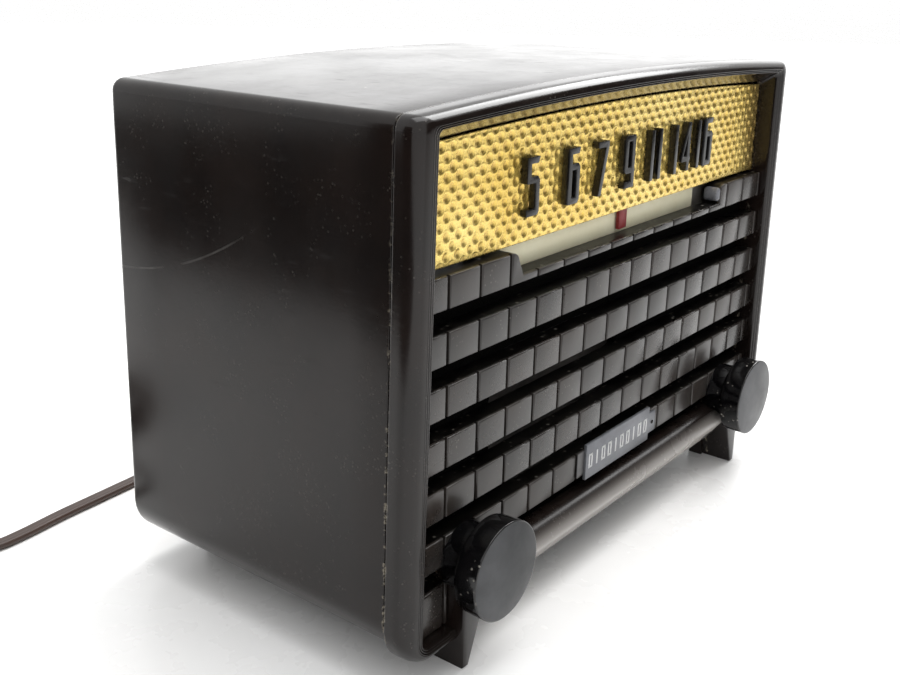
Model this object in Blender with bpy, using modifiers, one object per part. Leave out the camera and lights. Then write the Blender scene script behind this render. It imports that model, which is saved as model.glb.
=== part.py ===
"""Bakelite table radio: cabinet, dial, controls and the works inside, each piece its own solid.

Layout: +X to the right of someone facing the front, +Y to the back, +Z up.
Lengths below are in millimetres, measured from the face of the grille (y = 0),
the middle of the cabinet (x = 0) and the table (z = 0).
"""
import math

import bmesh
import bpy
from mathutils import Matrix, Vector

MM = 0.001
DEPTH_CENTRE = 56.05      # y of the middle of the box that holds the radio
FIT = 0.3                 # gap between pieces that touch

# Cabinet outline (x-z section)
HALF_WIDTH = 129.4        # at SIDE_LEVEL
SIDE_LEVEL = 117.5
SIDE_TAPER = 0.0315       # sides spread downwards
CROWN_TOP = 187.1
CROWN_DROP = 0.0002535    # per mm of x squared
SHELL_BOTTOM = 13.0
BEZEL_BOTTOM = 9.5
TOP_CORNER = 4.5
BOTTOM_CORNER = 14.0
SHELL_WALL = 3.2
SHELL_FRONT = 4.15
SHELL_BACK = 131.0
SHELL_ROUND = 3.0

# Front moulding
BEZEL_FRONT = -5.0
BEZEL_BACK = 3.85
BEZEL_ROUND = 4.0
SPIGOT_BACK = 9.0
RECESS_HALF = 118.9       # at SIDE_LEVEL, same taper as the sides
RECESS_FLOOR = 14.0
ARCH_REAR = 177.2         # crown of the recess at the dial panel
ARCH_FRONT = 181.6        # crown of the recess at the front
ARCH_DROP = 0.000225
GRILLE_DEPTH = 7.5
ROW_PITCH = 17.4
ROW_HEIGHT = 10.4
ROW_ONE_TOP = 134.7
ROW_TWO_TOP = 116.9
ROWS = 7
TILE = 16.0
FIRST_GROOVE = -106.8
GROOVES = 15
GROOVE_WIDE = 1.2
GROOVE_DEEP = 1.4
WINDOW_SILL = 126.7
WINDOW_LEFT = -69.7
WINDOW_RIGHT = 78.5
RAIL_RADIUS = 6.0
RAIL_LEVEL = 25.6
RAIL_HALF = 100.0
RAIL_TANGENT = 217.6      # where the roll turns into the slanted lip, degrees
LIP_BOTTOM = 10.9
RAISED_EDGE = 22.0        # underside of the front between the feet
FOOT_OUTER = 105.5
FOOT_TOE = 102.4
FOOT_FRONT = -7.5
FOOT_BACK = 6.3

# Controls
KNOB_X = 96.8
KNOB_Z = 37.2
KNOB_RADIUS = 17.0
KNOB_FRONT = -17.6
KNOB_BACK = -8.6
KNOB_DOME = 1.3
SHAFT_RADIUS = 3.2

# Dial
PANEL_FRONT = 4.5
PANEL_THICK = 1.2
NUMERAL_LOW = 144.8
NUMERAL_TALL = 19.2
NUMERAL_FRONT = 1.5
STROKE = 2.2
DIGIT_WIDE = 7.1
DRUM_X = 70.0
DRUM_Z = 82.0
DRUM_RADIUS = 37.0
POINTER_X = 6.3           # middle of its travel
POINTER_HALF = 2.8
PULLEYS = (("left", -80.0), ("right", 98.0))
PULLEY_Z = 131.0
LAMP = (30.0, 20.0, 126.0)

# Works
DECK = 52.0               # top of the chassis
CHASSIS_HALF = 112.0
CHASSIS_FRONT = 20.0
CHASSIS_BACK = 118.0
SHEET_STEEL = 1.2
SPEAKER_X = -32.0
SPEAKER_Z = 75.0
VANES = 6
VANE_PITCH = 4.2
VANE_THICK = 0.9

# Back
BACK_INNER = 126.5
BACK_OUTER = 128.7
SCREW_X = 116.0
SCREW_Z = 82.0
SCREW_BORE = 1.6
EXIT_X = -62.0            # where the cord leaves
EXIT_Z = 34.0
VENT_LEVELS = (68, 84, 138, 150, 162)

# Cord
CORD_WIDE = 6.0
CORD_STEP = 5.5           # spacing of the points along the cord
PLUG_LOW = (-172, 312, 0.1)
PLUG_HIGH = (-144, 326, 14.1)
BLADE_LONG = 16.0
BLADE_THICK = 1.5
COIL_X = -204.0
COIL_Y = 282.0
COIL_RADIUS = 28.65
COIL_HALF = 9.1           # half of the bundle's breadth
COIL_TALL = 9.8


def clear_scene():
    for old in list(bpy.data.objects):
        bpy.data.objects.remove(old, do_unlink=True)


def collection(name):
    made = bpy.data.collections.new(name)
    bpy.context.scene.collection.children.link(made)
    return made


def material(name, colour, roughness, metallic=0.0):
    made = bpy.data.materials.new(name)
    made.use_nodes = True
    shader = made.node_tree.nodes["Principled BSDF"]
    shader.inputs["Base Color"].default_value = (*colour, 1.0)
    shader.inputs["Roughness"].default_value = roughness
    shader.inputs["Metallic"].default_value = metallic
    return made


def at(x, y, z):
    """A point given in the layout above, in metres in the model's own frame."""
    return Vector((x * MM, (y - DEPTH_CENTRE) * MM, z * MM))


def add(name, mesh, group, mat, location=(0, 0, 0)):
    made = bpy.data.objects.new(name, mesh)
    made.location = location
    group.objects.link(made)
    if mat:
        made.data.materials.append(mat)
    return made


def box(name, low, high, group, mat=None):
    """A box between two corners, with its origin at its middle."""
    bm = bmesh.new()
    bmesh.ops.create_cube(bm, size=1.0)
    size = [(b - a) * MM for a, b in zip(low, high)]
    bmesh.ops.scale(bm, vec=size, verts=bm.verts)
    mesh = bpy.data.meshes.new(name)
    bm.to_mesh(mesh)
    bm.free()
    middle = [(a + b) / 2 for a, b in zip(low, high)]
    return add(name, mesh, group, mat, at(*middle))


def rod(name, x, z, y0, y1, radius, group, mat=None, steps=20, axis="Y"):
    """A cylinder along y at x, z, or upright at x, z from y0 to y1 when axis is Z."""
    bm = bmesh.new()
    bmesh.ops.create_cone(
        bm, cap_ends=True, segments=steps, radius1=radius * MM, radius2=radius * MM,
        depth=(y1 - y0) * MM,
    )
    if axis == "Y":
        bmesh.ops.rotate(bm, matrix=Matrix.Rotation(math.radians(90), 3, "X"), verts=bm.verts)
    mesh = bpy.data.meshes.new(name)
    bm.to_mesh(mesh)
    bm.free()
    mesh.shade_smooth()
    mesh.set_sharp_from_angle(angle=math.radians(40))
    middle = at(x, (y0 + y1) / 2, z) if axis == "Y" else at(x, z, (y0 + y1) / 2)
    return add(name, mesh, group, mat, middle)


def baked(source, name, group, mat, smooth=True):
    """The evaluated mesh of source as a plain object, welded, with its faces outwards."""
    bpy.context.view_layer.update()
    seen = source.evaluated_get(bpy.context.evaluated_depsgraph_get())
    mesh = bpy.data.meshes.new_from_object(seen)
    matrix = source.matrix_world.copy()
    bpy.data.objects.remove(source, do_unlink=True)
    bm = bmesh.new()
    bm.from_mesh(mesh)
    bmesh.ops.remove_doubles(bm, verts=bm.verts, dist=1e-6)
    bmesh.ops.recalc_face_normals(bm, faces=bm.faces)
    bm.to_mesh(mesh)
    bm.free()
    mesh.name = name
    mesh.materials.clear()
    if smooth:
        mesh.shade_smooth()
        mesh.set_sharp_from_angle(angle=math.radians(35))
    made = add(name, mesh, group, mat)
    made.matrix_world = matrix
    return made


def sheet(name, outlines, y0, y1, group, mat=None):
    """Closed x-z outlines, the later ones holes, as an upright slab from y0 to y1."""
    curve = bpy.data.curves.new(name, "CURVE")
    curve.dimensions = "2D"
    curve.fill_mode = "BOTH"
    curve.extrude = (y1 - y0) / 2 * MM
    for outline in outlines:
        spline = curve.splines.new("POLY")
        spline.points.add(len(outline) - 1)
        for point, (x, z) in zip(spline.points, outline):
            point.co = (x * MM, z * MM, 0.0, 1.0)
        spline.use_cyclic_u = True
    source = bpy.data.objects.new(name, curve)
    source.location = at(0, (y0 + y1) / 2, 0)
    source.rotation_euler = (math.radians(90), 0, 0)
    group.objects.link(source)
    return baked(source, name, group, mat, smooth=False)


def turned(name, profile, place, group, mat, steps=32, axis="Y"):
    """A profile of (radius, height) pairs turned about an axis; height runs to the front or up."""
    mesh = bpy.data.meshes.new(name)
    bm = bmesh.new()
    rim = [bm.verts.new((r * MM, 0, h * MM)) for r, h in profile]
    ends = list(zip(rim, rim[1:]))
    if profile[0][0] > 0 and profile[-1][0] > 0:
        ends.append((rim[-1], rim[0]))
    for a, b in ends:
        bm.edges.new((a, b))
    bm.to_mesh(mesh)
    bm.free()
    source = add(name, mesh, group, None, at(*place))
    if axis == "Y":
        source.rotation_euler = (math.radians(90), 0, 0)
    screw = source.modifiers.new("Turn", "SCREW")
    screw.steps = steps
    screw.render_steps = steps
    screw.use_merge_vertices = True
    screw.merge_threshold = 0.00001
    return baked(source, name, group, mat)


def boolean(target, operation, tools):
    for tool in tools:
        tool.hide_render = True
        tool.display_type = "WIRE"
        modifier = target.modifiers.new(tool.name, "BOOLEAN")
        modifier.operation = operation
        modifier.object = tool
        modifier.show_render = modifier.show_viewport


def join_to(target, *tools):
    boolean(target, "UNION", tools)


def cut_from(target, *tools):
    boolean(target, "DIFFERENCE", tools)


def half_width(level, inset=0.0, base=HALF_WIDTH):
    return base + SIDE_TAPER * (SIDE_LEVEL - level) - inset


def arc(cx, cz, radius, start, stop, steps):
    """Points on a circle from start to stop degrees."""
    turn = [math.radians(start + (stop - start) * i / steps) for i in range(steps + 1)]
    return [(cx + radius * math.cos(a), cz + radius * math.sin(a)) for a in turn]


def body_outline(bottom, inset=0.0, base=HALF_WIDTH, crown=CROWN_TOP, drop=CROWN_DROP,
                 low_corner=BOTTOM_CORNER, high_corner=TOP_CORNER, steps=5, spans=12):
    """The cabinet's section: flat foot, spreading sides and a crowned top."""
    low_r = max(low_corner - inset, 1.5)
    high_r = max(high_corner - inset, 1.5)
    floor = bottom + inset
    low_x = half_width(floor + low_r, inset, base) - low_r
    edge = crown - inset - drop * half_width(crown, inset, base) ** 2
    high_x = half_width(edge, inset, base) - high_r
    high_z = crown - inset - drop * high_x ** 2 - high_r
    points = arc(-low_x, floor + low_r, low_r, 180, 270, steps)
    points += arc(low_x, floor + low_r, low_r, 270, 360, steps)
    points += arc(high_x, high_z, high_r, 0, 90, steps)
    for i in range(1, spans):
        x = high_x * (1 - 2 * i / spans)
        points.append((x, crown - inset - drop * x * x))
    points += arc(-high_x, high_z, high_r, 90, 180, steps)
    return points


def loft(name, sections, group, mat=None):
    """A solid between rings of as many points: sections are (y, outline) pairs, front to back."""
    bm = bmesh.new()
    rings = [[bm.verts.new(at(x, y, z)) for x, z in outline] for y, outline in sections]
    for near, far in zip(rings, rings[1:]):
        for i in range(len(near)):
            j = (i + 1) % len(near)
            bm.faces.new((near[i], near[j], far[j], far[i]))
    bm.faces.new(rings[0])
    bm.faces.new(rings[-1])
    bmesh.ops.recalc_face_normals(bm, faces=bm.faces)
    mesh = bpy.data.meshes.new(name)
    bm.to_mesh(mesh)
    bm.free()
    return add(name, mesh, group, mat)


def slab(name, bottom, front, back, group, mat, front_round=0.0, back_round=0.0, steps=4):
    """The cabinet's section from front to back, with its front or back edge rounded."""
    quarter = [math.radians(90 * i / steps) for i in range(steps + 1)]
    sections = [(front, 0.0)]
    if front_round:
        sections = [(front + front_round * (1 - math.cos(a)), front_round * (1 - math.sin(a)))
                    for a in quarter]
    if back_round:
        sections += [(back - back_round * (1 - math.cos(a)), back_round * (1 - math.sin(a)))
                     for a in reversed(quarter)]
    else:
        sections.append((back, 0.0))
    return loft(name, [(y, body_outline(bottom, inset)) for y, inset in sections], group, mat)


def recess_outline(arch, floor=RECESS_FLOOR, inset=0.0):
    return body_outline(floor, inset, RECESS_HALF, arch, ARCH_DROP, low_corner=3.0,
                        high_corner=2.0, steps=2, spans=12)


def make_shell(group, tools, mat):
    shell = slab("cabinet_shell", SHELL_BOTTOM, SHELL_FRONT, SHELL_BACK, group, mat,
                 back_round=SHELL_ROUND)
    hollow = sheet("shell_hollow", [body_outline(SHELL_BOTTOM, SHELL_WALL)],
                   SHELL_FRONT - 5, SHELL_BACK + 5, tools)
    cut_from(shell, hollow)
    apron = box("shell_apron", (-108, 9.6, SHELL_BOTTOM + 1), (108, 12.4, 24.0), tools)
    join_to(shell, apron)
    for side, sign in (("left", -1), ("right", 1)):
        notch = box(f"foot_notch_{side}", (sign * KNOB_X - 9.2, 0, 0),
                    (sign * KNOB_X + 9.2, FOOT_BACK + FIT, 20), tools)
        cut_from(shell, notch)
        outline = [(FOOT_OUTER, 0.0), (FOOT_OUTER, 15.0), (96.0, 15.0), (FOOT_TOE - 2.0, 0.0)]
        outline = [(sign * x, z) for x, z in outline]
        toe = sheet(f"shell_toe_{side}", [outline], FOOT_BACK + FIT, 13.0, tools)
        heel = box(f"shell_heel_{side}", (sign * 98 - 8, 108, 0), (sign * 98 + 8, 122, 15), tools)
        boss = box(f"screw_boss_{side}", (sign * 120.5 - 8.5, 112, SCREW_Z - 6),
                   (sign * 120.5 + 8.5, BACK_INNER - FIT, SCREW_Z + 6), tools)
        bore = rod(f"screw_bore_{side}", sign * SCREW_X, SCREW_Z, 118, 130, SCREW_BORE, tools,
                   steps=12)
        join_to(shell, toe, heel, boss)
        cut_from(shell, bore)
    return shell


def foot_outline(sign):
    """A fin: upright outer side, round head behind the knob, toe narrowed from the inner side."""
    radius = FOOT_OUTER - KNOB_X
    head = arc(KNOB_X, KNOB_Z, radius, 0, 180, 10)
    return [(sign * x, z) for x, z in [(FOOT_OUTER, 0.0), *head, (FOOT_TOE, 0.0)]]


def make_rail(tools):
    """The rolled edge under the grille, running down into a slanted lip."""
    section = arc(0.2, RAIL_LEVEL, RAIL_RADIUS, 90, RAIL_TANGENT, 12)
    section += [(BEZEL_BACK, LIP_BOTTOM), (BEZEL_BACK, RAIL_LEVEL + RAIL_RADIUS)]
    bm = bmesh.new()
    ends = [[bm.verts.new(at(x, y, z)) for y, z in section] for x in (-RAIL_HALF, RAIL_HALF)]
    for i in range(len(section)):
        j = (i + 1) % len(section)
        bm.faces.new((ends[0][i], ends[0][j], ends[1][j], ends[1][i]))
    for ring in ends:
        bm.faces.new(ring)
    bmesh.ops.recalc_face_normals(bm, faces=bm.faces)
    mesh = bpy.data.meshes.new("front_rail")
    bm.to_mesh(mesh)
    bm.free()
    return add("front_rail", mesh, tools, None)


def make_bezel(group, tools, mat):
    plate = slab("front_bezel", BEZEL_BOTTOM, BEZEL_FRONT, BEZEL_BACK, group, mat,
                 front_round=BEZEL_ROUND)
    spigot = sheet("bezel_spigot", [body_outline(SHELL_BOTTOM, SHELL_WALL + 0.5)],
                   BEZEL_BACK - 2, SPIGOT_BACK, tools)
    recess = loft("bezel_recess", [
        (BEZEL_FRONT - 1, recess_outline(ARCH_FRONT + 0.5)),
        (PANEL_FRONT - 0.4, recess_outline(ARCH_REAR)),
        (SPIGOT_BACK + 1, recess_outline(ARCH_REAR)),
    ], tools)
    arch = box("bezel_arch", (-FOOT_OUTER + 2, BEZEL_FRONT - 5, 0),
               (FOOT_OUTER - 2, SPIGOT_BACK + 5, RAISED_EDGE), tools)
    join_to(plate, spigot)
    cut_from(plate, recess, arch)

    half = RECESS_HALF + 4
    inner = FOOT_OUTER - 1
    base = SHELL_BOTTOM + SHELL_WALL + 0.6
    outline = [(-half, base + 8), (-half + 8, base), (-inner, base), (-inner, RAISED_EDGE),
               (inner, RAISED_EDGE), (inner, base), (half - 8, base), (half, base + 8),
               (half, ROW_ONE_TOP)]
    outline += arc(WINDOW_RIGHT + 3, ROW_ONE_TOP - 3, 3.0, 90, 180, 3)
    outline += [(WINDOW_RIGHT, WINDOW_SILL), (WINDOW_LEFT + 2, WINDOW_SILL)]
    outline += arc(WINDOW_LEFT - 3, ROW_ONE_TOP - 3, 3.0, 0, 90, 3)
    outline += [(-half, ROW_ONE_TOP)]
    slots = []
    for row in range(1, ROWS):
        low = ROW_TWO_TOP - ROW_PITCH * (row - 1)
        high = low + ROW_PITCH - ROW_HEIGHT
        end = half_width(low, -1.0, RECESS_HALF)
        if row < ROWS - 1:
            slots.append([(-end, low), (end, low), (end, high), (-end, high)])
            continue
        rail_top = RAIL_LEVEL + RAIL_RADIUS
        slots.append([(-end, low), (-KNOB_X, low), (-KNOB_X, rail_top), (KNOB_X, rail_top),
                      (KNOB_X, low), (end, low), (end, high), (-end, high)])
    grille = sheet("grille_bars", [outline, *slots], 0.0, GRILLE_DEPTH, tools)
    join_to(plate, grille)

    groove = box("tile_groove", (FIRST_GROOVE - GROOVE_WIDE / 2, -1, 34.0),
                 (FIRST_GROOVE + GROOVE_WIDE / 2, GROOVE_DEEP, 145), tools)
    spread = groove.modifiers.new("Spread", "ARRAY")
    spread.count = GROOVES
    spread.use_relative_offset = False
    spread.use_constant_offset = True
    spread.constant_offset_displace = (TILE * MM, 0, 0)
    spread.show_render = spread.show_viewport
    cut_from(plate, groove)

    for side, sign in (("left", -1), ("right", 1)):
        fin = sheet(f"foot_{side}", [foot_outline(sign)], FOOT_FRONT, FOOT_BACK, tools)
        bore = rod(f"shaft_bore_{side}", sign * KNOB_X, KNOB_Z, FOOT_FRONT - 2, 12, 4.4, tools)
        join_to(plate, fin)
        cut_from(plate, bore)

    join_to(plate, make_rail(tools))
    return plate


def make_dial(group, tools, mats):
    top = ARCH_REAR - 0.6
    low = ROW_ONE_TOP + FIT
    outline = [(-half_width(low, FIT, RECESS_HALF), low), (half_width(low, FIT, RECESS_HALF), low)]
    wide = half_width(top, FIT + 0.3, RECESS_HALF)
    for i in range(13):
        x = wide * (1 - 2 * i / 12)
        outline.append((x, top - ARCH_DROP * x * x))
    sheet("dial_panel", [outline], PANEL_FRONT, PANEL_FRONT + PANEL_THICK, group, mats["gold"])

    w, h, s = DIGIT_WIDE, NUMERAL_TALL, STROKE
    waist = 0.67 * h
    one = [[(0, 0), (s, 0), (s, h), (0, h)]]
    five = [[(0, 0), (w - 1, 0), (w, 1), (w, waist - 1), (w - 1, waist), (s, waist), (s, h - s),
             (w - 0.9, h - s), (w, h), (0, h), (0, waist - s), (w - s, waist - s), (w - s, s),
             (0, s)]]
    six = [[(0, 0), (w - 1, 0), (w, 1), (w, waist), (w - 1, waist + 1), (s, waist + 1),
            (s, h - s), (w - 0.9, h - s), (w, h), (0, h)],
           [(s, s), (s, waist + 1 - s), (w - s, waist + 1 - s), (w - s, s)]]
    nine = [[(w - x, h - z) for x, z in ring] for ring in six]
    seven = [[(0.8, 0), (0.8 + s, 0), (w, h - s), (w, h), (0, h), (0, h - s), (w - s, h - s)]]
    four = [[(w - s - 0.6, 0), (w - 0.6, 0), (w - 0.6, 0.2 * h), (w, 0.2 * h), (w, 0.2 * h + s),
             (w - 0.6, 0.2 * h + s), (w - 0.6, h), (w - s - 0.6, h), (0, 0.2 * h + s),
             (0, 0.2 * h), (w - s - 0.6, 0.2 * h)],
            [(1.3, 0.2 * h + s), (w - s - 0.6, 0.2 * h + s), (w - s - 0.6, 0.78 * h)]]
    row = (
        ("numeral_5", five, -65.4), ("numeral_6", six, -40.9), ("numeral_7", seven, -22.0),
        ("numeral_9", nine, -3.0), ("numeral_11_first", one, 16.5), ("numeral_11_last", one, 22.6),
        ("numeral_14_first", one, 35.7), ("numeral_14_last", four, 42.2),
        ("numeral_16_first", one, 55.1), ("numeral_16_last", six, 61.3),
    )
    for name, rings, left in row:
        moved = [[(left + x, NUMERAL_LOW + z) for x, z in ring] for ring in rings]
        sheet(name, moved, NUMERAL_FRONT, PANEL_FRONT - FIT, group, mats["black"])

    box("dial_scale_strip", (-78, 8.0, 121.8), (68, 8.8, 140), group, mats["ivory"])
    plate = box("dial_backplate", (-88, 9.1, 120.5), (106, 10.1, 143), group, mats["steel"])
    ear = box("lamp_ear", (20, 9.6, 108), (40, 10.6, 124), tools)
    join_to(plate, ear)
    window = box("lamp_window", (26, 5, 123), (34, 15, 132), tools)
    cut_from(plate, window)

    x0, x1 = POINTER_X - POINTER_HALF, POINTER_X + POINTER_HALF
    pointer = box("dial_pointer", (x0, 6.0, 128.0), (x1, 7.4, 145.6), group, mats["red"])
    tab = box("pointer_tab", (x0, 6.4, 143.6), (x1, 15.0, 145.4), tools)
    clip = box("pointer_clip", (x0, 13.2, 137.0), (x1, 14.8, 145.0), tools)
    join_to(pointer, tab, clip)

    for side, x in PULLEYS:
        profile = [(0, 1.5), (6.0, 1.5), (6.0, 1.0), (5.0, 0.3), (5.0, -0.3), (6.0, -1.0),
                   (6.0, -1.5), (0, -1.5)]
        turned(f"dial_pulley_{side}", profile, (x, 12.2, PULLEY_Z), group, mats["brass"], steps=20)

    bulb = [(0, 8), (3.0, 7.3), (5.0, 5.0), (5.4, 2.0), (4.6, -2.0), (4.4, -6.0), (0, -6.0)]
    turned("pilot_lamp", bulb, LAMP, group, mats["glass"], steps=16)
    socket = turned("pilot_lamp_socket", [(0, -6.4), (6.0, -6.4), (6.0, -15.0), (0, -15.0)],
                    LAMP, group, mats["brass"], steps=16)
    tongue = box("socket_tongue", (27, 11.1, 109), (33, 28.2, 110.4), tools)
    wall = box("socket_wall", (27, 10.9, 108.6), (33, 11.9, 118), tools)
    post = box("socket_post", (27, 26.8, 109.4), (33, 28.0, 122), tools)
    join_to(socket, post, tongue, wall)


def make_nameplate(group, mat):
    outline = [(-22.4, 35.9), (26.8, 35.9), (26.8, 38.6), (32.0, 38.6), (32.0, 47.4), (26.8, 47.4),
               (26.8, 50.3), (-22.4, 50.3), (-22.4, 48.0), (-27.2, 48.0), (-27.2, 38.4),
               (-22.4, 38.4)]
    sheet("nameplate", [outline], -1.5, -FIT, group, mat)


def make_controls(group, mats):
    long = KNOB_BACK - KNOB_FRONT
    profile = [(0, long + KNOB_DOME), (6.0, long + KNOB_DOME - 0.15), (11.5, long + 0.75),
               (15.6, long + 0.25), (16.6, long - 0.1), (KNOB_RADIUS, long - 0.9),
               (KNOB_RADIUS - 0.2, 0.8), (KNOB_RADIUS - 0.8, 0), (0, 0)]
    for name, sign in (("volume_knob", -1), ("tuning_knob", 1)):
        turned(name, profile, (sign * KNOB_X, KNOB_BACK, KNOB_Z), group, mats["bakelite"], steps=48)
    rod("volume_shaft", -KNOB_X, KNOB_Z, KNOB_BACK + FIT, 22.0, SHAFT_RADIUS, group, mats["steel"])
    rod("tuning_shaft", KNOB_X, KNOB_Z, KNOB_BACK + FIT, 26.0, SHAFT_RADIUS, group, mats["steel"])
    rod("volume_control", -KNOB_X, KNOB_Z, 22.3, 34.0, 10.8, group, mats["steel"], steps=24)


def make_tuner(group, tools, mats):
    rim = [(DRUM_RADIUS, 2.5), (DRUM_RADIUS - 1.0, 1.5), (DRUM_RADIUS - 1.0, -1.5),
           (DRUM_RADIUS, -2.5), (DRUM_RADIUS - 3.0, -2.5), (DRUM_RADIUS - 3.0, -0.6),
           (7.0, -0.6), (7.0, -2.5), (0, -2.5)]
    turned("dial_drum", [(0, 2.5), (7.0, 2.5), (7.0, 0.6), (DRUM_RADIUS - 3.0, 0.6),
                         (DRUM_RADIUS - 3.0, 2.5), *rim], (DRUM_X, 15.0, DRUM_Z), group,
           mats["aluminium"], steps=48)

    frame = box("tuning_capacitor_frame", (48, 26, DECK + FIT), (92, 66, DECK + 2.3), group,
                mats["steel"])
    for end, y in (("front", 26.0), ("rear", 64.4)):
        cheek = box(f"capacitor_cheek_{end}", (48.4, y, DECK + 1), (91.6, y + 1.6, 101), tools)
        bore = rod(f"capacitor_bore_{end}", DRUM_X, DRUM_Z, y - 2, y + 4, 3.8, tools)
        join_to(frame, cheek)
        cut_from(frame, bore)
    bar = box("stator_bar", (50, 27, 70), (52, 65, 76), tools)
    join_to(frame, bar)
    for i in range(VANES):
        y = 34.8 + VANE_PITCH * i
        plate = box(f"stator_plate_{i}", (51, y, 64), (64, y + VANE_THICK, 99), tools)
        join_to(frame, plate)

    rotor = rod("tuning_capacitor_rotor", DRUM_X, DRUM_Z, 17.8, 68.0, 3.0, group,
                mats["aluminium"])
    for i in range(VANES):
        y = 32.7 + VANE_PITCH * i
        half_disc = arc(DRUM_X, DRUM_Z, 17.0, 15, 165, 10)
        vane = sheet(f"rotor_vane_{i}", [half_disc + [(DRUM_X - 2, DRUM_Z - 2),
                                                    (DRUM_X + 2, DRUM_Z - 2)]],
                     y, y + VANE_THICK, tools)
        join_to(rotor, vane)


def make_speaker(group, mats):
    sheet("speaker_baffle", [
        [(-114, 24.5), (114, 24.5), (112, 116.5), (-112, 116.5)],
        arc(SPEAKER_X, SPEAKER_Z, 43, 0, 352, 44),
        arc(-KNOB_X, KNOB_Z, 5.5, 0, 330, 11),
        arc(KNOB_X, KNOB_Z, 5.5, 0, 330, 11),
    ], 7.8, 9.3, group, mats["cloth"])
    basket = [(50, 0), (50, -1.2), (45.0, -1.8), (25.0, -22.5), (24.0, -24.5), (12.0, -24.5),
              (12.0, -23.3), (22.8, -23.3), (23.8, -21.5), (43.6, -0.6), (43.6, 0)]
    turned("speaker_basket", basket, (SPEAKER_X, 12.3, SPEAKER_Z), group, mats["steel"], steps=32)
    cone = [(0, -16.2), (6.0, -16.8), (10.0, -19.0), (14.0, -20.0), (41.8, 0.2), (42.8, 0.2),
            (42.4, -0.6), (14.4, -21.2), (9.4, -20.2), (5.6, -17.9), (0, -17.2)]
    turned("speaker_cone", cone, (SPEAKER_X, 12.0, SPEAKER_Z), group, mats["paper"], steps=32)
    magnet = [(0, 0), (21, 0), (22, -1), (22, -12), (21, -13), (0, -13)]
    turned("speaker_magnet", magnet, (SPEAKER_X, 37.1, SPEAKER_Z), group, mats["dark_steel"],
           steps=24)


def make_chassis(group, tools, mats):
    low = SHELL_BOTTOM + SHELL_WALL + FIT
    chassis = box("chassis", (-CHASSIS_HALF, CHASSIS_FRONT, low),
                  (CHASSIS_HALF, CHASSIS_BACK, DECK), group, mats["steel"])
    inner = CHASSIS_HALF - SHEET_STEEL
    under = box("chassis_hollow", (-inner, CHASSIS_FRONT + SHEET_STEEL, low - 5),
                (inner, CHASSIS_BACK - SHEET_STEEL, DECK - 1.4), tools)
    bay = box("speaker_bay", (-84, 15, low - 5), (22, 53, DECK + 5), tools)
    cut_from(chassis, under, bay)
    for side, sign in (("left", -1), ("right", 1)):
        bore = rod(f"flange_bore_{side}", sign * KNOB_X, KNOB_Z, 15, 25, 4.0, tools)
        cut_from(chassis, bore)

    seats = ((1, 40, 94, 46), (2, 4, 98, 46), (3, -34, 98, 46), (4, -70, 96, 52), (5, -98, 80, 48))
    for number, x, y, tall in seats:
        base = DECK + FIT
        rod(f"tube_socket_{number}", x, y, base, base + 4.5, 10.5, group, mats["phenolic"],
            steps=16, axis="Z")
        outer = [(0, tall), (1.2, tall - 0.6), (1.8, tall - 3.0), (6.5, tall - 5.0),
                 (8.8, tall - 9.0), (9.4, tall - 14.0), (9.4, 2.0), (8.6, 0), (0, 0)]
        turned(f"tube_{number}", outer, (x, y, base + 4.5 + FIT), group, mats["glass"], steps=16,
               axis="Z")
    for number, x in ((1, 34), (2, -14)):
        can = box(f"if_transformer_{number}", (x - 9.5, 58.5, DECK + FIT), (x + 9.5, 77.5, 99),
                  group, mats["aluminium"])
        edge = can.modifiers.new("Edges", "BEVEL")
        edge.width = 1.2 * MM
        edge.segments = 2
        edge.show_render = edge.show_viewport
    tall = [(0, 52), (11.0, 52), (12.5, 50.5), (12.5, 0), (0, 0)]
    turned("filter_capacitor", tall, (94, 92, DECK + FIT), group, mats["aluminium"], steps=24,
           axis="Z")
    core = box("output_transformer", (-111, 27, DECK + FIT), (-87, 47, 80), group,
               mats["dark_steel"])
    winding = box("transformer_winding", (-106, 23, 57), (-92, 51, 75), tools)
    join_to(core, winding)


def turned_back(name, profile, place, group, mat):
    """A turned piece whose heights run to the back."""
    return turned(name, [(r, -h) for r, h in profile], place, group, mat, steps=16)


def make_back(group, mats):
    outline = body_outline(SHELL_BOTTOM, SHELL_WALL + 0.4, steps=4, spans=8)
    vents = []
    for level in VENT_LEVELS:
        for i in range(7):
            x = -78 + 26 * i
            vents.append([(x - 9, level), (x + 9, level), (x + 9, level + 4), (x - 9, level + 4)])
    cord_hole = arc(EXIT_X, EXIT_Z, 4.2, 0, 330, 11)
    screw_holes = [arc(sign * SCREW_X, SCREW_Z, SCREW_BORE, 0, 315, 7) for sign in (-1, 1)]
    sheet("back_cover", [outline, *vents, cord_hole, *screw_holes], BACK_INNER, BACK_OUTER, group,
          mats["board"])
    for side, sign in (("left", -1), ("right", 1)):
        screw = [(0, -9.5), (1.2, -9.5), (1.2, 0), (3.2, 0), (3.0, 1.2), (1.8, 1.8), (0, 1.8)]
        place = (sign * SCREW_X, BACK_OUTER + FIT, SCREW_Z)
        turned_back(f"back_screw_{side}", screw, place, group, mats["brass"])
    grommet = [(0, -3.4), (3.7, -3.4), (3.7, -0.3 + FIT), (6.0, FIT), (6.0, 1.0), (4.6, 1.8),
               (0, 1.8)]
    turned_back("cord_grommet", grommet, (EXIT_X, BACK_OUTER, EXIT_Z), group,
                mats["rubber"])
    sheet("loop_antenna", [
        [(-88, 46.0), (88, 46.0), (88, 132), (-88, 132)],
        [(-70, 64), (-70, 114), (70, 114), (70, 64)],
    ], 123.0, 124.6, group, mats["copper"])


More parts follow.
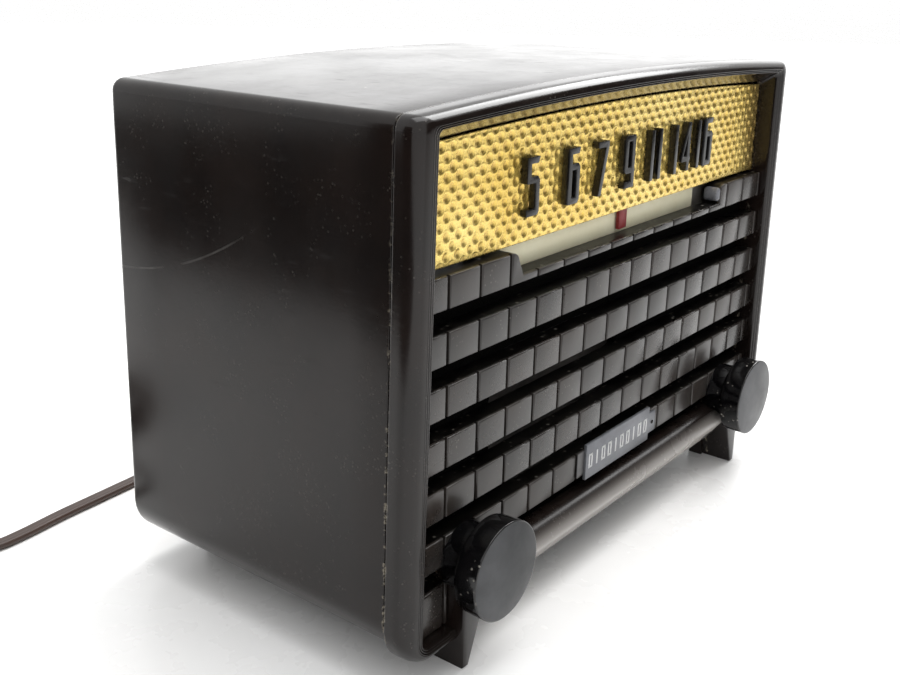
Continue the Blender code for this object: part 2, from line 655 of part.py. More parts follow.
def smooth_route(points, spacing):
    """Points about spacing apart on a Catmull-Rom curve through the given ones."""
    knots = [Vector(p) for p in points]
    knots = [2 * knots[0] - knots[1], *knots, 2 * knots[-1] - knots[-2]]
    fine = []
    for a, b, c, d in zip(knots, knots[1:], knots[2:], knots[3:]):
        for k in range(20):
            t = k / 20
            fine.append(0.5 * (2 * b + (c - a) * t + (2 * a - 5 * b + 4 * c - d) * t * t
                               + (3 * b - 3 * c + d - a) * t ** 3))
    fine.append(knots[-2])
    walked = [0.0]
    for a, b in zip(fine, fine[1:]):
        walked.append(walked[-1] + (b - a).length)
    count = max(2, round(walked[-1] / spacing))
    route = []
    k = 0
    for i in range(count + 1):
        goal = walked[-1] * i / count
        while k < len(fine) - 2 and walked[k + 1] < goal:
            k += 1
        part = (goal - walked[k]) / max(walked[k + 1] - walked[k], 1e-9)
        route.append(fine[k].lerp(fine[k + 1], min(part, 1.0)))
    return route


def make_cord(group, mats):
    lie = CORD_WIDE / 2 + 0.1
    route = [(EXIT_X, 131.0, EXIT_Z), (-61.6, 138, 32.5), (-61.2, 149, 24.5), (-61.4, 161, 12),
             (-63.5, 172, lie + 0.5), (-70, 182, lie), (-82, 186.6, lie), (-96, 186.1, lie),
             (-111, 185.0, lie), (-131, 183.5, lie), (-150, 181.2, lie), (-162, 181.2, lie),
             (-172, 185.5, lie), (-177.5, 194, lie), (-178, 204, lie), (-176, 214, lie),
             (-176.5, 225, lie), (-182, 235, lie), (-190.5, 240.5, lie)]
    curve = bpy.data.curves.new("power_cord", "CURVE")
    curve.dimensions = "3D"
    curve.bevel_depth = CORD_WIDE / 2 * MM
    curve.bevel_resolution = 2
    curve.use_fill_caps = True
    spline = curve.splines.new("POLY")
    points = smooth_route(route, CORD_STEP)
    spline.points.add(len(points) - 1)
    for point, place in zip(spline.points, points):
        point.co = (*at(*place), 1.0)
    cord = bpy.data.objects.new("power_cord", curve)
    group.objects.link(cord)
    baked(cord, "power_cord", group, mats["cord"])

    inner, outer = COIL_RADIUS - COIL_HALF, COIL_RADIUS + COIL_HALF
    ring = [(inner, 1.5), (inner + 1.5, 0), (outer - 1.5, 0), (outer, 1.5), (outer, COIL_TALL - 1.5),
            (outer - 1.5, COIL_TALL), (inner + 1.5, COIL_TALL), (inner, COIL_TALL - 1.5)]
    turned("power_cord_coil", ring, (COIL_X, COIL_Y, 0.1), group, mats["cord"], steps=28, axis="Z")
    plug = box("power_plug", PLUG_LOW, PLUG_HIGH, group, mats["plug"])
    edges = plug.modifiers.new("Edges", "BEVEL")
    edges.width = 2.5 * MM
    edges.segments = 2
    edges.show_render = edges.show_viewport
    x = PLUG_HIGH[0]
    for name, y in (("plug_blade_front", 313.5), ("plug_blade_back", 323.0)):
        box(name, (x + FIT, y, 4.0), (x + BLADE_LONG, y + BLADE_THICK, 10.3), group, mats["brass"])


def main():
    clear_scene()
    parts = collection("bakelite_table_radio")
    tools = collection("cutters")
    mats = {
        "bakelite": material("bakelite", (0.018, 0.013, 0.011), 0.22),
        "gold": material("gold_panel", (0.83, 0.66, 0.26), 0.38, 0.3),
        "black": material("numeral_black", (0.02, 0.018, 0.018), 0.3),
        "ivory": material("ivory_scale", (0.86, 0.8, 0.6), 0.5),
        "red": material("pointer_red", (0.5, 0.06, 0.06), 0.4),
        "steel": material("plated_steel", (0.5, 0.49, 0.46), 0.45, 1.0),
        "dark_steel": material("dark_steel", (0.09, 0.09, 0.1), 0.5, 0.8),
        "aluminium": material("aluminium", (0.72, 0.72, 0.72), 0.35, 1.0),
        "brass": material("brass", (0.7, 0.5, 0.22), 0.35, 1.0),
        "copper": material("copper_winding", (0.55, 0.28, 0.15), 0.4, 0.6),
        "glass": material("tube_glass", (0.6, 0.6, 0.58), 0.1),
        "phenolic": material("phenolic", (0.1, 0.05, 0.03), 0.5),
        "paper": material("cone_paper", (0.08, 0.075, 0.07), 0.85),
        "cloth": material("grille_cloth", (0.03, 0.026, 0.022), 0.95),
        "board": material("hardboard", (0.2, 0.11, 0.06), 0.8),
        "rubber": material("rubber", (0.03, 0.028, 0.026), 0.7),
        "cord": material("cord_brown", (0.05, 0.03, 0.022), 0.5),
        "plug": material("plug_brown", (0.04, 0.025, 0.02), 0.4),
        "plate": material("nameplate_grey", (0.25, 0.25, 0.26), 0.35),
    }
    make_shell(parts, tools, mats["bakelite"])
    make_bezel(parts, tools, mats["bakelite"])
    make_dial(parts, tools, mats)
    make_nameplate(parts, mats["plate"])
    make_controls(parts, mats)
    make_tuner(parts, tools, mats)
    make_speaker(parts, mats)
    make_chassis(parts, tools, mats)
    make_back(parts, mats)
    make_cord(parts, mats)


main()
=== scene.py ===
"""Looks of the bakelite table radio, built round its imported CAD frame."""
import math
import random

import bmesh
import bpy
import numpy as np
from mathutils import Matrix, Vector


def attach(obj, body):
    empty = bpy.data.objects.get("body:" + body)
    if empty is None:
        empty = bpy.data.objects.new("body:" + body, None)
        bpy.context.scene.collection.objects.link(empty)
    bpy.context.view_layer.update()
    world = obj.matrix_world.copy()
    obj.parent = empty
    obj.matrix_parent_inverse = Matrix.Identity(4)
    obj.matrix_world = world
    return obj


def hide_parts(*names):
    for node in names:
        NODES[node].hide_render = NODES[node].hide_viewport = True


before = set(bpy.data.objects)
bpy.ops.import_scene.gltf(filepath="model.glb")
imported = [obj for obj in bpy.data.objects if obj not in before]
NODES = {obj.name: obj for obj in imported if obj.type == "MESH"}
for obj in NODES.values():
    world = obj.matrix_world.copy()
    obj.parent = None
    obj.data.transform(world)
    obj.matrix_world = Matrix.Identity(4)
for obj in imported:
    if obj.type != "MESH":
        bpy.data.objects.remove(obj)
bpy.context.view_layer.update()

MM = 0.001
DEPTH_CENTRE = 56.05


def at(x, y, z):
    """Layout millimetres (x from the middle, y from the grille face, z from the table) in metres."""
    return Vector((x * MM, (y - DEPTH_CENTRE) * MM, z * MM))


# ---------------------------------------------------------------- camera
CAMERA_PLACE = (-0.3512, -0.2463, 0.2233)
CAMERA_RIGHT = (0.61795, -0.78602, 0.01760)
CAMERA_UP = (0.24831, 0.21635, 0.94421)
CAMERA_LENS = 43.65


def make_camera():
    """The camera stands just above the set, off its left front corner."""
    data = bpy.data.cameras.new("view")
    data.lens = CAMERA_LENS
    data.sensor_width = 36.0
    data.clip_start = 0.01
    data.clip_end = 50.0
    camera = bpy.data.objects.new("view", data)
    bpy.context.scene.collection.objects.link(camera)
    right = Vector(CAMERA_RIGHT)
    up = Vector(CAMERA_UP)
    turn = Matrix((right, up, right.cross(up))).transposed()
    camera.matrix_world = Matrix.Translation(CAMERA_PLACE) @ turn.to_4x4()
    bpy.context.scene.camera = camera


make_camera()


# ---------------------------------------------------------------- meshes
def new_object(name, mesh, material=None, smooth=True, angle=None):
    body = bpy.data.objects.new(name, mesh)
    bpy.context.scene.collection.objects.link(body)
    if material is not None:
        mesh.materials.append(material)
    if smooth:
        mesh.shade_smooth()
        if angle is not None:
            mesh.set_sharp_from_angle(angle=math.radians(angle))
    return body


def mesh_from(name, points, faces):
    """A mesh from a list of points and a list of faces."""
    mesh = bpy.data.meshes.new(name)
    mesh.from_pydata([tuple(p) for p in points], [], faces)
    mesh.validate()
    return mesh


def from_bmesh(name, bm):
    mesh = bpy.data.meshes.new(name)
    bm.to_mesh(mesh)
    bm.free()
    return mesh


def outward(mesh):
    """Turns the faces of a closed mesh outwards."""
    bm = bmesh.new()
    bm.from_mesh(mesh)
    bmesh.ops.recalc_face_normals(bm, faces=bm.faces)
    bm.to_mesh(mesh)
    bm.free()


# ---------------------------------------------------------------- cord
CORD_WIDE = 6.0
CORD_THICK = 3.1
CORD_STEP = 0.0014        # metres between rings of the cord's mesh
COIL_X = -204.0
COIL_Y = 282.0
COIL_RADIUS = 28.65
COLUMN = 6.1              # between turns lying side by side
LAYER = 3.2               # between turns lying on each other
COIL_COLUMNS = (1, 0, -1, -1, 0, -1, 0, 1, 1)
COIL_LAYERS = (0, 0, 0, 1, 1, 2, 2, 1, 2)
COIL_STEPS = 48           # points in one turn


def catmull(points, steps):
    """A smooth line through the given points."""
    knots = [Vector(p) for p in points]
    knots = [2 * knots[0] - knots[1], *knots, 2 * knots[-1] - knots[-2]]
    fine = []
    for a, b, c, d in zip(knots, knots[1:], knots[2:], knots[3:]):
        for k in range(steps):
            t = k / steps
            fine.append(0.5 * (2 * b + (c - a) * t + (2 * a - 5 * b + 4 * c - d) * t * t
                               + (3 * b - 3 * c + d - a) * t ** 3))
    fine.append(knots[-2])
    return fine


def respaced(line, spacing):
    """The same line with its points evenly spaced."""
    walked = [0.0]
    for a, b in zip(line, line[1:]):
        walked.append(walked[-1] + (b - a).length)
    count = max(2, round(walked[-1] / spacing))
    route = []
    k = 0
    for i in range(count + 1):
        goal = walked[-1] * i / count
        while k < len(line) - 2 and walked[k + 1] < goal:
            k += 1
        part = (goal - walked[k]) / max(walked[k + 1] - walked[k], 1e-9)
        route.append(line[k].lerp(line[k + 1], min(part, 1.0)))
    return route


def ease(t):
    """0 to 1 with a soft start and end."""
    t = min(max(t, 0.0), 1.0)
    return t * t * (3 - 2 * t)


def cord_line():
    """The cord's middle: out of the back, over the table, round the coil and to the plug."""
    lie = CORD_THICK / 2 + 0.1
    free = [(-62, 129.5, 34), (-61.6, 138, 32.5), (-61.2, 149, 24.5), (-61.4, 161, 11.5),
            (-63.5, 172, lie + 0.6), (-70, 182, lie), (-82, 186.6, lie), (-96, 186.1, lie),
            (-111, 185.0, lie), (-131, 183.5, lie), (-150, 181.2, lie), (-162, 181.2, lie),
            (-172, 185.5, lie), (-177.5, 194, lie), (-178, 204, lie), (-176, 214, lie),
            (-176.3, 226, lie), (-181, 238.5, lie), (-190.5, 246, lie), (-198, 247.4, lie)]
    around = []
    last = len(COIL_COLUMNS) - 1
    for turn in range(last + 1):
        for k in range(COIL_STEPS if turn < last else COIL_STEPS // 2 + 1):
            share = k / COIL_STEPS
            before = max(turn - 1, 0)
            mix = ease(share / 0.22) if turn else 1.0
            column = COIL_COLUMNS[before] * (1 - mix) + COIL_COLUMNS[turn] * mix
            layer = COIL_LAYERS[before] * (1 - mix) + COIL_LAYERS[turn] * mix
            angle = math.radians(-90 - 360 * share)
            radius = COIL_RADIUS + COLUMN * column
            wave = 0.35 * math.sin(3 * angle + 1.3 * turn)
            around.append((COIL_X + (radius + wave) * math.cos(angle),
                           COIL_Y + (radius + wave) * math.sin(angle), lie + LAYER * layer))
    tail = [(-196, 316.9, lie + 2 * LAYER), (-188, 318.2, 7.3), (-180, 319.0, 7.1),
            (-171.7, 319.0, 7.1)]
    return catmull(free + around[3::3] + tail, 6)


def flat_cord(material):
    """Flat twin flex: two round cores side by side with a groove between them."""
    line = respaced([at(*p) for p in cord_line()], CORD_STEP)
    ring = []
    core = CORD_THICK / 2
    apart = CORD_WIDE / 2 - core
    for side in (1, -1):
        for k in range(7):
            a = math.radians(-118 + 236 * k / 6)
            ring.append((side * (apart + core * math.cos(a)), side * core * math.sin(a)))
    points, faces = [], []
    across = Vector((1, 0, 0))
    for i, p in enumerate(line):
        ahead = (line[min(i + 1, len(line) - 1)] - line[max(i - 1, 0)]).normalized()
        flat = Vector((0, 0, 1)).cross(ahead)
        if flat.length > 0.2:
            flat.normalize()
            across = flat if across.dot(flat) > 0 or i == 0 else -flat
        lift = ahead.cross(across).normalized()
        for u, v in ring:
            points.append(p + across * (u * MM) + lift * (v * MM))
    n = len(ring)
    for i in range(len(line) - 1):
        for j in range(n):
            k = (j + 1) % n
            faces.append((i * n + j, i * n + k, (i + 1) * n + k, (i + 1) * n + j))
    faces.append(tuple(reversed(range(n))))
    faces.append(tuple(range((len(line) - 1) * n, len(line) * n)))
    mesh = mesh_from("mains_flex", points, faces)
    outward(mesh)
    return new_object("mains_flex", mesh, material), line


# ---------------------------------------------------------------- materials
class Look:
    """A small helper for one Principled material made of procedural nodes."""

    def __init__(self, name, **sockets):
        self.material = bpy.data.materials.new(name)
        self.material.use_nodes = True
        self.tree = self.material.node_tree
        self.shader = self.tree.nodes["Principled BSDF"]
        for key, value in sockets.items():
            self.shader.inputs[key.replace("_", " ")].default_value = value
        self.place = self.tree.nodes.new("ShaderNodeTexCoord").outputs["Object"]
        self.shader_bump = None

    def new(self, kind, **settings):
        node = self.tree.nodes.new(kind)
        for key, value in settings.items():
            setattr(node, key, value)
        return node

    def feed(self, socket, value):
        if isinstance(value, bpy.types.NodeSocket):
            self.tree.links.new(value, socket)
        else:
            socket.default_value = value

    def scaled(self, x, y, z, vector=None):
        node = self.new("ShaderNodeMapping")
        self.feed(node.inputs["Vector"], vector or self.place)
        node.inputs["Scale"].default_value = (x, y, z)
        return node.outputs["Vector"]

    def noise(self, scale, detail=3.0, rough=0.55, vector=None, twist=0.0):
        node = self.new("ShaderNodeTexNoise")
        self.feed(node.inputs["Vector"], vector or self.place)
        node.inputs["Scale"].default_value = scale
        node.inputs["Detail"].default_value = detail
        node.inputs["Roughness"].default_value = rough
        node.inputs["Distortion"].default_value = twist
        return node.outputs["Fac"]

    def cells(self, scale, feature="F1", vector=None):
        node = self.new("ShaderNodeTexVoronoi", feature=feature)
        self.feed(node.inputs["Vector"], vector or self.place)
        node.inputs["Scale"].default_value = scale
        return node.outputs["Distance"]

    def span(self, value, low, high, to_low=0.0, to_high=1.0):
        node = self.new("ShaderNodeMapRange")
        self.feed(node.inputs["Value"], value)
        node.inputs["From Min"].default_value = low
        node.inputs["From Max"].default_value = high
        node.inputs["To Min"].default_value = to_low
        node.inputs["To Max"].default_value = to_high
        return node.outputs["Result"]

    def sum(self, operation, a, b):
        node = self.new("ShaderNodeMath", operation=operation)
        self.feed(node.inputs[0], a)
        self.feed(node.inputs[1], b)
        return node.outputs[0]

    def blend(self, factor, a, b):
        node = self.new("ShaderNodeMix", data_type="RGBA")
        factor_socket, first, second = node.inputs[0], node.inputs[6], node.inputs[7]
        self.feed(factor_socket, factor)
        self.feed(first, a)
        self.feed(second, b)
        return node.outputs[2]

    def axes(self):
        split = self.new("ShaderNodeSeparateXYZ")
        self.feed(split.inputs[0], self.place)
        return split

    def facing_up(self):
        geometry = self.new("ShaderNodeNewGeometry")
        split = self.new("ShaderNodeSeparateXYZ")
        self.feed(split.inputs[0], geometry.outputs["Normal"])
        return split.outputs["Z"]

    def stored(self, name):
        node = self.new("ShaderNodeAttribute", attribute_name=name)
        return node.outputs["Fac"]

    def bump(self, height, strength, distance):
        node = self.new("ShaderNodeBump")
        node.inputs["Strength"].default_value = strength
        node.inputs["Distance"].default_value = distance
        self.feed(node.inputs["Height"], height)
        if self.shader_bump is not None:
            self.feed(node.inputs["Normal"], self.shader_bump)
        self.shader_bump = node.outputs["Normal"]

    def done(self, colour=None, rough=None):
        if colour is not None:
            self.feed(self.shader.inputs["Base Color"], colour)
        if rough is not None:
            self.feed(self.shader.inputs["Roughness"], rough)
        if self.shader_bump is not None:
            self.feed(self.shader.inputs["Normal"], self.shader_bump)
        return self.material


def rgb(r, g, b):
    return (r, g, b, 1.0)


SEAM_Y = at(0, 4.0, 0).y
SIDE_X = -0.110           # the scratch lies on the left side only


def seam_wear(look, colour, split):
    """Rubbed specks along the seam between the shell and the front, thickest near the foot."""
    off = look.sum("ABSOLUTE", look.sum("SUBTRACT", split.outputs["Y"], SEAM_Y), 0.0)
    near = look.span(off, 0.0002, 0.0010, 1.0, 0.0)
    low = look.span(split.outputs["Z"], 0.02, 0.15, 1.0, 0.25)
    chips = look.span(look.noise(430, 4, 0.7), 0.53, 0.61)
    worn = look.sum("MULTIPLY", look.sum("MULTIPLY", near, chips), low)
    return look.blend(worn, colour, rgb(0.26, 0.23, 0.18))


def side_scratch(look, colour, split):
    """One long fine scratch on the left side, bent like a shallow bowl."""
    bend = look.sum("POWER", look.sum("SUBTRACT", 0.080, split.outputs["Y"]), 2.0)
    level = look.sum("ADD", 0.1185, look.sum("MULTIPLY", bend, 4.2))
    line = look.sum("ABSOLUTE", look.sum("SUBTRACT", level, split.outputs["Z"]), 0.0)
    ends = look.sum("MULTIPLY", look.span(split.outputs["Y"], 0.0, 0.012),
                    look.span(split.outputs["X"], SIDE_X, SIDE_X - 0.008))
    broken = look.sum("MULTIPLY", ends, look.span(look.noise(70, 3, 0.6), 0.36, 0.6))
    fine = look.sum("MULTIPLY", look.span(line, 0.0002, 0.0005, 0.6, 0.0), broken)
    return look.blend(fine, colour, rgb(0.09, 0.085, 0.08))


def bakelite(name, dust=0.15, gloss=0.16, base=(0.0085, 0.0062, 0.0055), flow=True, shine=0.5,
             speckle=None, grain=620, patch=0.5, lip=False):
    """Dark brown phenolic: faint mottling, a slightly uneven polish, fine scuffs and settled dust."""
    look = Look(name, Specular_IOR_Level=shine, IOR=1.5)
    mottle = look.noise(38, 5, 0.6)
    streak = look.noise(9, 4, 0.6, look.scaled(1.0, 1.0, 0.35), 0.6)
    dark = rgb(*[c * 0.78 for c in base])
    light = rgb(base[0] * 1.35, base[1] * 1.2, base[2] * 1.1)
    colour = look.blend(look.span(mottle, 0.35, 0.68), dark, light)
    colour = look.blend(look.sum("MULTIPLY", look.span(streak, 0.52, 0.75), 0.5), colour,
                        rgb(base[0] * 1.7, base[1] * 1.4, base[2] * 1.25))
    grime_and_shade = look.noise(160, 6, 0.7)
    speck = look.span(look.cells(grain), 0.12, 0.22, 1.0, 0.0)
    clumps = look.span(look.noise(55, 4, 0.65), patch, patch + 0.1)
    up = look.span(look.facing_up(), 0.1, 0.95)
    settled = look.sum("MULTIPLY", look.span(grime_and_shade, 0.42, 0.75), look.sum("MULTIPLY", up, dust))
    specks = look.sum("MULTIPLY", look.sum("MULTIPLY", speck, clumps), speckle or min(1.0, dust * 2.4))
    powder = look.sum("MINIMUM", look.sum("ADD", settled, specks), 1.0)
    colour = look.blend(powder, colour, rgb(0.26, 0.245, 0.215))
    split = look.axes()
    # With lip, the rail's lower part is painted pale: full below 21.5 mm, gone above 30.5 mm. This is a
    # painted reflection of the table in the slanted lip.
    if lip:
        pale = look.span(split.outputs["Z"], 0.0215, 0.0305, 1.0, 0.0)
        colour = look.blend(pale, colour, rgb(0.44, 0.412, 0.387))
    if flow:
        dots = look.span(look.cells(85), 0.025, 0.05, 1.0, 0.0)
        rare = look.span(look.noise(33, 2, 0.5), 0.6, 0.64)
        colour = look.blend(look.sum("MULTIPLY", dots, rare), colour, rgb(0.42, 0.40, 0.36))
        colour = side_scratch(look, colour, split)
        colour = seam_wear(look, colour, split)
    polish = look.span(look.noise(21, 5, 0.62), 0.3, 0.75, gloss * 0.75, gloss * 1.45)
    scuffs = look.span(look.noise(430, 3, 0.6, look.scaled(1.0, 0.16, 1.0)), 0.62, 0.8, 0.0, 0.12)
    rough = look.sum("ADD", look.sum("ADD", polish, scuffs), look.sum("MULTIPLY", powder, 0.5))
    if flow:
        look.bump(look.noise(14, 2, 0.5), 0.12, 0.0012)
    look.bump(look.noise(900, 3, 0.6), 0.05, 0.0002)
    return look.done(colour, look.sum("MINIMUM", rough, 0.9))


def gold_lacquer():
    """Gold paint on embossed metal. The pits are darkened, partly dirt and partly painted shade. The curled
    right end is darkened as painted shade beside the recess wall.
    """
    look = Look("gold_panel", Metallic=0.72, Specular_IOR_Level=0.5)
    patch = look.noise(30, 5, 0.6)
    grain = look.noise(700, 4, 0.7)
    colour = look.blend(look.span(patch, 0.3, 0.72), rgb(0.74, 0.51, 0.11), rgb(0.90, 0.70, 0.23))
    # Dirt and painted shade: each pit is darkened towards brown by its depth.
    pit = look.stored("pit")
    grime_and_shade = look.sum("MULTIPLY", pit, look.span(look.noise(120, 5, 0.7), 0.25, 0.8, 0.35, 0.9))
    colour = look.blend(grime_and_shade, colour, rgb(0.36, 0.22, 0.05))
    stain = look.sum("MULTIPLY", look.span(look.noise(75, 6, 0.75), 0.64, 0.8), 0.55)
    colour = look.blend(stain, colour, rgb(0.42, 0.26, 0.08))
    # Painted shade: the curled right end, beside the dark recess wall, is darkened towards brown.
    shade = look.sum("MULTIPLY", look.stored("shade"), 0.75)
    colour = look.blend(shade, colour, rgb(0.17, 0.10, 0.035))
    rough = look.span(grain, 0.3, 0.75, 0.20, 0.36)
    look.bump(grain, 0.15, 0.0002)
    return look.done(colour, rough)


def painted_black():
    """Black paint with small worn spots."""
    look = Look("numeral_black", Specular_IOR_Level=0.35)
    colour = look.blend(look.span(look.noise(300, 4, 0.6), 0.35, 0.7), rgb(0.003, 0.0027, 0.003),
                        rgb(0.010, 0.009, 0.009))
    speck = look.span(look.cells(900), 0.0, 0.1, 1.0, 0.0)
    chips = look.sum("MULTIPLY", speck, look.span(look.noise(150, 3, 0.6), 0.5, 0.7, 0.0, 0.8))
    colour = look.blend(chips, colour, rgb(0.24, 0.21, 0.16))
    look.bump(look.noise(700, 3, 0.6), 0.1, 0.0003)
    return look.done(colour, look.span(look.noise(120, 4, 0.6), 0.3, 0.75, 0.14, 0.34))


def plain(name, light, dark, rough=(0.3, 0.5), scale=60.0, metallic=0.0, bump=0.1, grain=600.0,
          stretch=(1, 1, 1)):
    """A mottled, slightly uneven surface between two close colours."""
    look = Look(name, Metallic=metallic, Specular_IOR_Level=0.5)
    where = look.scaled(*stretch)
    mottle = look.span(look.noise(scale, 5, 0.62, where), 0.3, 0.72)
    colour = look.blend(mottle, rgb(*dark), rgb(*light))
    fine = look.noise(grain, 4, 0.65, where)
    look.bump(fine, bump, 0.0003)
    return look.done(colour, look.span(look.noise(scale * 2.3, 5, 0.65, where), 0.28, 0.75, *rough))


def weave(name, thread, gap, pitch):
    """Open woven cloth in the x-z plane."""
    look = Look(name, Specular_IOR_Level=0.05)
    split = look.axes()
    turn = 2 * math.pi / pitch
    a = look.sum("SINE", look.sum("MULTIPLY", split.outputs["X"], turn), 0.0)
    b = look.sum("SINE", look.sum("MULTIPLY", split.outputs["Z"], turn), 0.0)
    both = look.sum("MULTIPLY", a, b)
    colour = look.blend(look.span(both, -0.8, 0.8), rgb(*gap), rgb(*thread))
    dust = look.span(look.noise(90, 4, 0.7), 0.5, 0.8, 0.0, 0.5)
    colour = look.blend(dust, colour, rgb(0.008, 0.0075, 0.007))
    look.bump(both, 0.5, 0.0004)
    return look.done(colour, 0.9)


def glass(name, tint, rough=0.03):
    """Clear glass, smoked here and there."""
    look = Look(name, Transmission_Weight=0.92, IOR=1.48)
    smoke = look.span(look.noise(60, 4, 0.6), 0.45, 0.8, 0.0, 0.5)
    colour = look.blend(smoke, rgb(*tint), rgb(0.16, 0.15, 0.15))
    return look.done(colour, look.span(look.noise(80, 4, 0.6), 0.3, 0.8, rough, rough + 0.15))


SHELL = bakelite("bakelite_shell", dust=0.05, gloss=0.17, shine=0.31)
RIM = bakelite("bakelite_rim", dust=0.06, gloss=0.16, shine=0.36)
# lip=True gives the rail a painted reflection of the table along its lower part.
RAIL = bakelite("bakelite_rail", dust=0.03, gloss=0.22, flow=False, shine=0.16, lip=True)
TILES = bakelite("bakelite_tiles", dust=0.12, gloss=0.27, base=(0.022, 0.0195, 0.018), flow=False)
# The bars are much darker than the tiles of the same grille. This is painted shade in the slots between the
# rows.
BARS = bakelite("bakelite_bars", dust=0.05, gloss=0.34, base=(0.0028, 0.0024, 0.0022), flow=False,
                shine=0.14, speckle=1.0, grain=300, patch=0.44)


def knob_face(name, centre, sheen_strength):
    """Dark metal face with a painted sheen: a soft pale band left of the middle, fading to the right."""
    look = Look(name, Specular_IOR_Level=0.3)
    split = look.axes()
    across = look.sum("MULTIPLY", look.sum("SUBTRACT", split.outputs["X"], centre * MM), 58.0)
    wander = look.span(look.noise(60, 4, 0.6), 0.3, 0.7, -0.3, 0.3)
    band = look.sum("ABSOLUTE", look.sum("ADD", look.sum("ADD", across, 0.42), wander), 0.0)
    # Painted sheen: the face is paler in a soft band left of the middle and darker towards the right.
    painted_sheen = look.span(band, 0.0, 1.25, 1.0, 0.0)
    mottle = look.span(look.noise(150, 5, 0.65), 0.25, 0.75, 0.6, 1.0)
    colour = look.blend(look.sum("MULTIPLY", look.sum("MULTIPLY", painted_sheen, mottle), sheen_strength),
                        rgb(0.006, 0.007, 0.009), rgb(0.13, 0.132, 0.14))
    rough = look.span(look.noise(90, 4, 0.6), 0.3, 0.75, 0.30, 0.46)
    look.bump(look.noise(700, 3, 0.6), 0.05, 0.0002)
    return look.done(colour, rough)


# The two faces differ only in how strong the painted sheen is.
KNOB_LEFT = knob_face("knob_face_left", -101.0, 0.42)
KNOB_RIGHT = knob_face("knob_face_right", 96.8, 0.6)
KNOB_SIDE = bakelite("knob_side", dust=0.03, gloss=0.09, base=(0.0025, 0.0026, 0.0032), flow=False,
                     speckle=0.9, grain=420, patch=0.5)
STOP = plain("window_stop", (0.20, 0.205, 0.225), (0.10, 0.103, 0.115), (0.2, 0.4), 150, bump=0.05)
TAB = plain("nameplate_tab", (0.085, 0.083, 0.085), (0.06, 0.058, 0.06), (0.3, 0.42), 160, 0.3,
            0.12)
GOLD = gold_lacquer()
BLACK = painted_black()
IVORY = plain("ivory_scale", (0.96, 0.92, 0.68), (0.86, 0.80, 0.56), (0.35, 0.5), 70, bump=0.04)
RED = plain("pointer_red", (0.27, 0.018, 0.018), (0.19, 0.010, 0.012), (0.4, 0.55), 120, bump=0.05)
STEEL = plain("plated_steel", (0.52, 0.50, 0.46), (0.36, 0.34, 0.30), (0.35, 0.55), 40, 1.0, 0.08)
DARK_STEEL = plain("dark_steel", (0.10, 0.10, 0.105), (0.05, 0.05, 0.052), (0.4, 0.6), 50, 0.6, 0.1)
ALUMINIUM = plain("aluminium_cans", (0.74, 0.74, 0.73), (0.58, 0.58, 0.57), (0.25, 0.45), 35, 1.0, 0.06,
                  stretch=(1, 1, 0.2))
BRASS = plain("brass_parts", (0.72, 0.53, 0.24), (0.46, 0.31, 0.12), (0.28, 0.5), 90, 1.0, 0.08)
COPPER = plain("loop_winding", (0.52, 0.27, 0.13), (0.30, 0.13, 0.06), (0.4, 0.6), 300, 0.3, 0.3,
               stretch=(0.05, 1, 1))
PHENOLIC = plain("phenolic_wafer", (0.13, 0.065, 0.035), (0.08, 0.04, 0.02), (0.45, 0.6), 200, bump=0.1)
PAPER = plain("cone_paper", (0.085, 0.078, 0.07), (0.05, 0.046, 0.042), (0.8, 0.95), 260, bump=0.4)
# The cloth is near-black: painted shade for the dark seen through the slots.
CLOTH = weave("grille_cloth", (0.0050, 0.0045, 0.0040), (0.0015, 0.0013, 0.0012), 0.0011)
BOARD = plain("hardboard", (0.20, 0.115, 0.062), (0.115, 0.062, 0.034), (0.62, 0.85), 150, bump=0.5,
              grain=420)
RUBBER = plain("grommet_rubber", (0.036, 0.034, 0.032), (0.02, 0.019, 0.018), (0.6, 0.8), 120, bump=0.2)
FLEX = plain("flex_brown", (0.052, 0.030, 0.022), (0.030, 0.017, 0.013), (0.30, 0.5), 90, bump=0.12,
             stretch=(0.3, 1, 1))
PLUG = plain("plug_plastic", (0.046, 0.028, 0.021), (0.030, 0.018, 0.014), (0.28, 0.45), 80, bump=0.08)
PLATE = plain("nameplate_metal", (0.175, 0.180, 0.196), (0.135, 0.140, 0.154), (0.3, 0.42), 160, 0.55, 0.12,
              grain=1200)
LETTER = plain("nameplate_lines", (0.62, 0.62, 0.62), (0.50, 0.50, 0.50), (0.35, 0.5), 300, bump=0.05)
TUBE = glass("tube_glass", (0.86, 0.88, 0.86))


def coat(node, material):
    """Gives a CAD node its material and shading."""
    mesh = NODES[node].data
    mesh.materials.clear()
    mesh.materials.append(material)
    mesh.shade_smooth()
    mesh.set_sharp_from_angle(angle=math.radians(35))


for name in NODES:
    if name.startswith("numeral_"):
        coat(name, BLACK)
    elif name.startswith("tube_socket"):
        coat(name, PHENOLIC)
    elif name.startswith("tube_"):
        coat(name, TUBE)
for names, material in (
    (("dial_scale_strip",), IVORY), (("dial_pointer",), RED),
    (("dial_backplate", "volume_shaft", "tuning_shaft", "volume_control", "tuning_capacitor_frame",
      "speaker_basket", "chassis"), STEEL),
    (("speaker_magnet", "output_transformer"), DARK_STEEL),
    (("dial_drum", "tuning_capacitor_rotor", "if_transformer_1", "if_transformer_2", "filter_capacitor"),
     ALUMINIUM),
    (("dial_pulley_left", "dial_pulley_right", "pilot_lamp_socket", "plug_blade_front", "plug_blade_back",
      "back_screw_left", "back_screw_right"), BRASS),
    (("loop_antenna",), COPPER), (("pilot_lamp",), TUBE), (("speaker_cone",), PAPER),
    (("speaker_baffle",), CLOTH), (("back_cover",), BOARD), (("cord_grommet",), RUBBER),
    (("power_cord", "power_cord_coil"), FLEX), (("power_plug",), PLUG), (("nameplate",), PLATE),
    (("cabinet_shell", "front_bezel", "volume_knob", "tuning_knob"), SHELL), (("dial_panel",), GOLD),
):
    for name in names:
        coat(name, material)


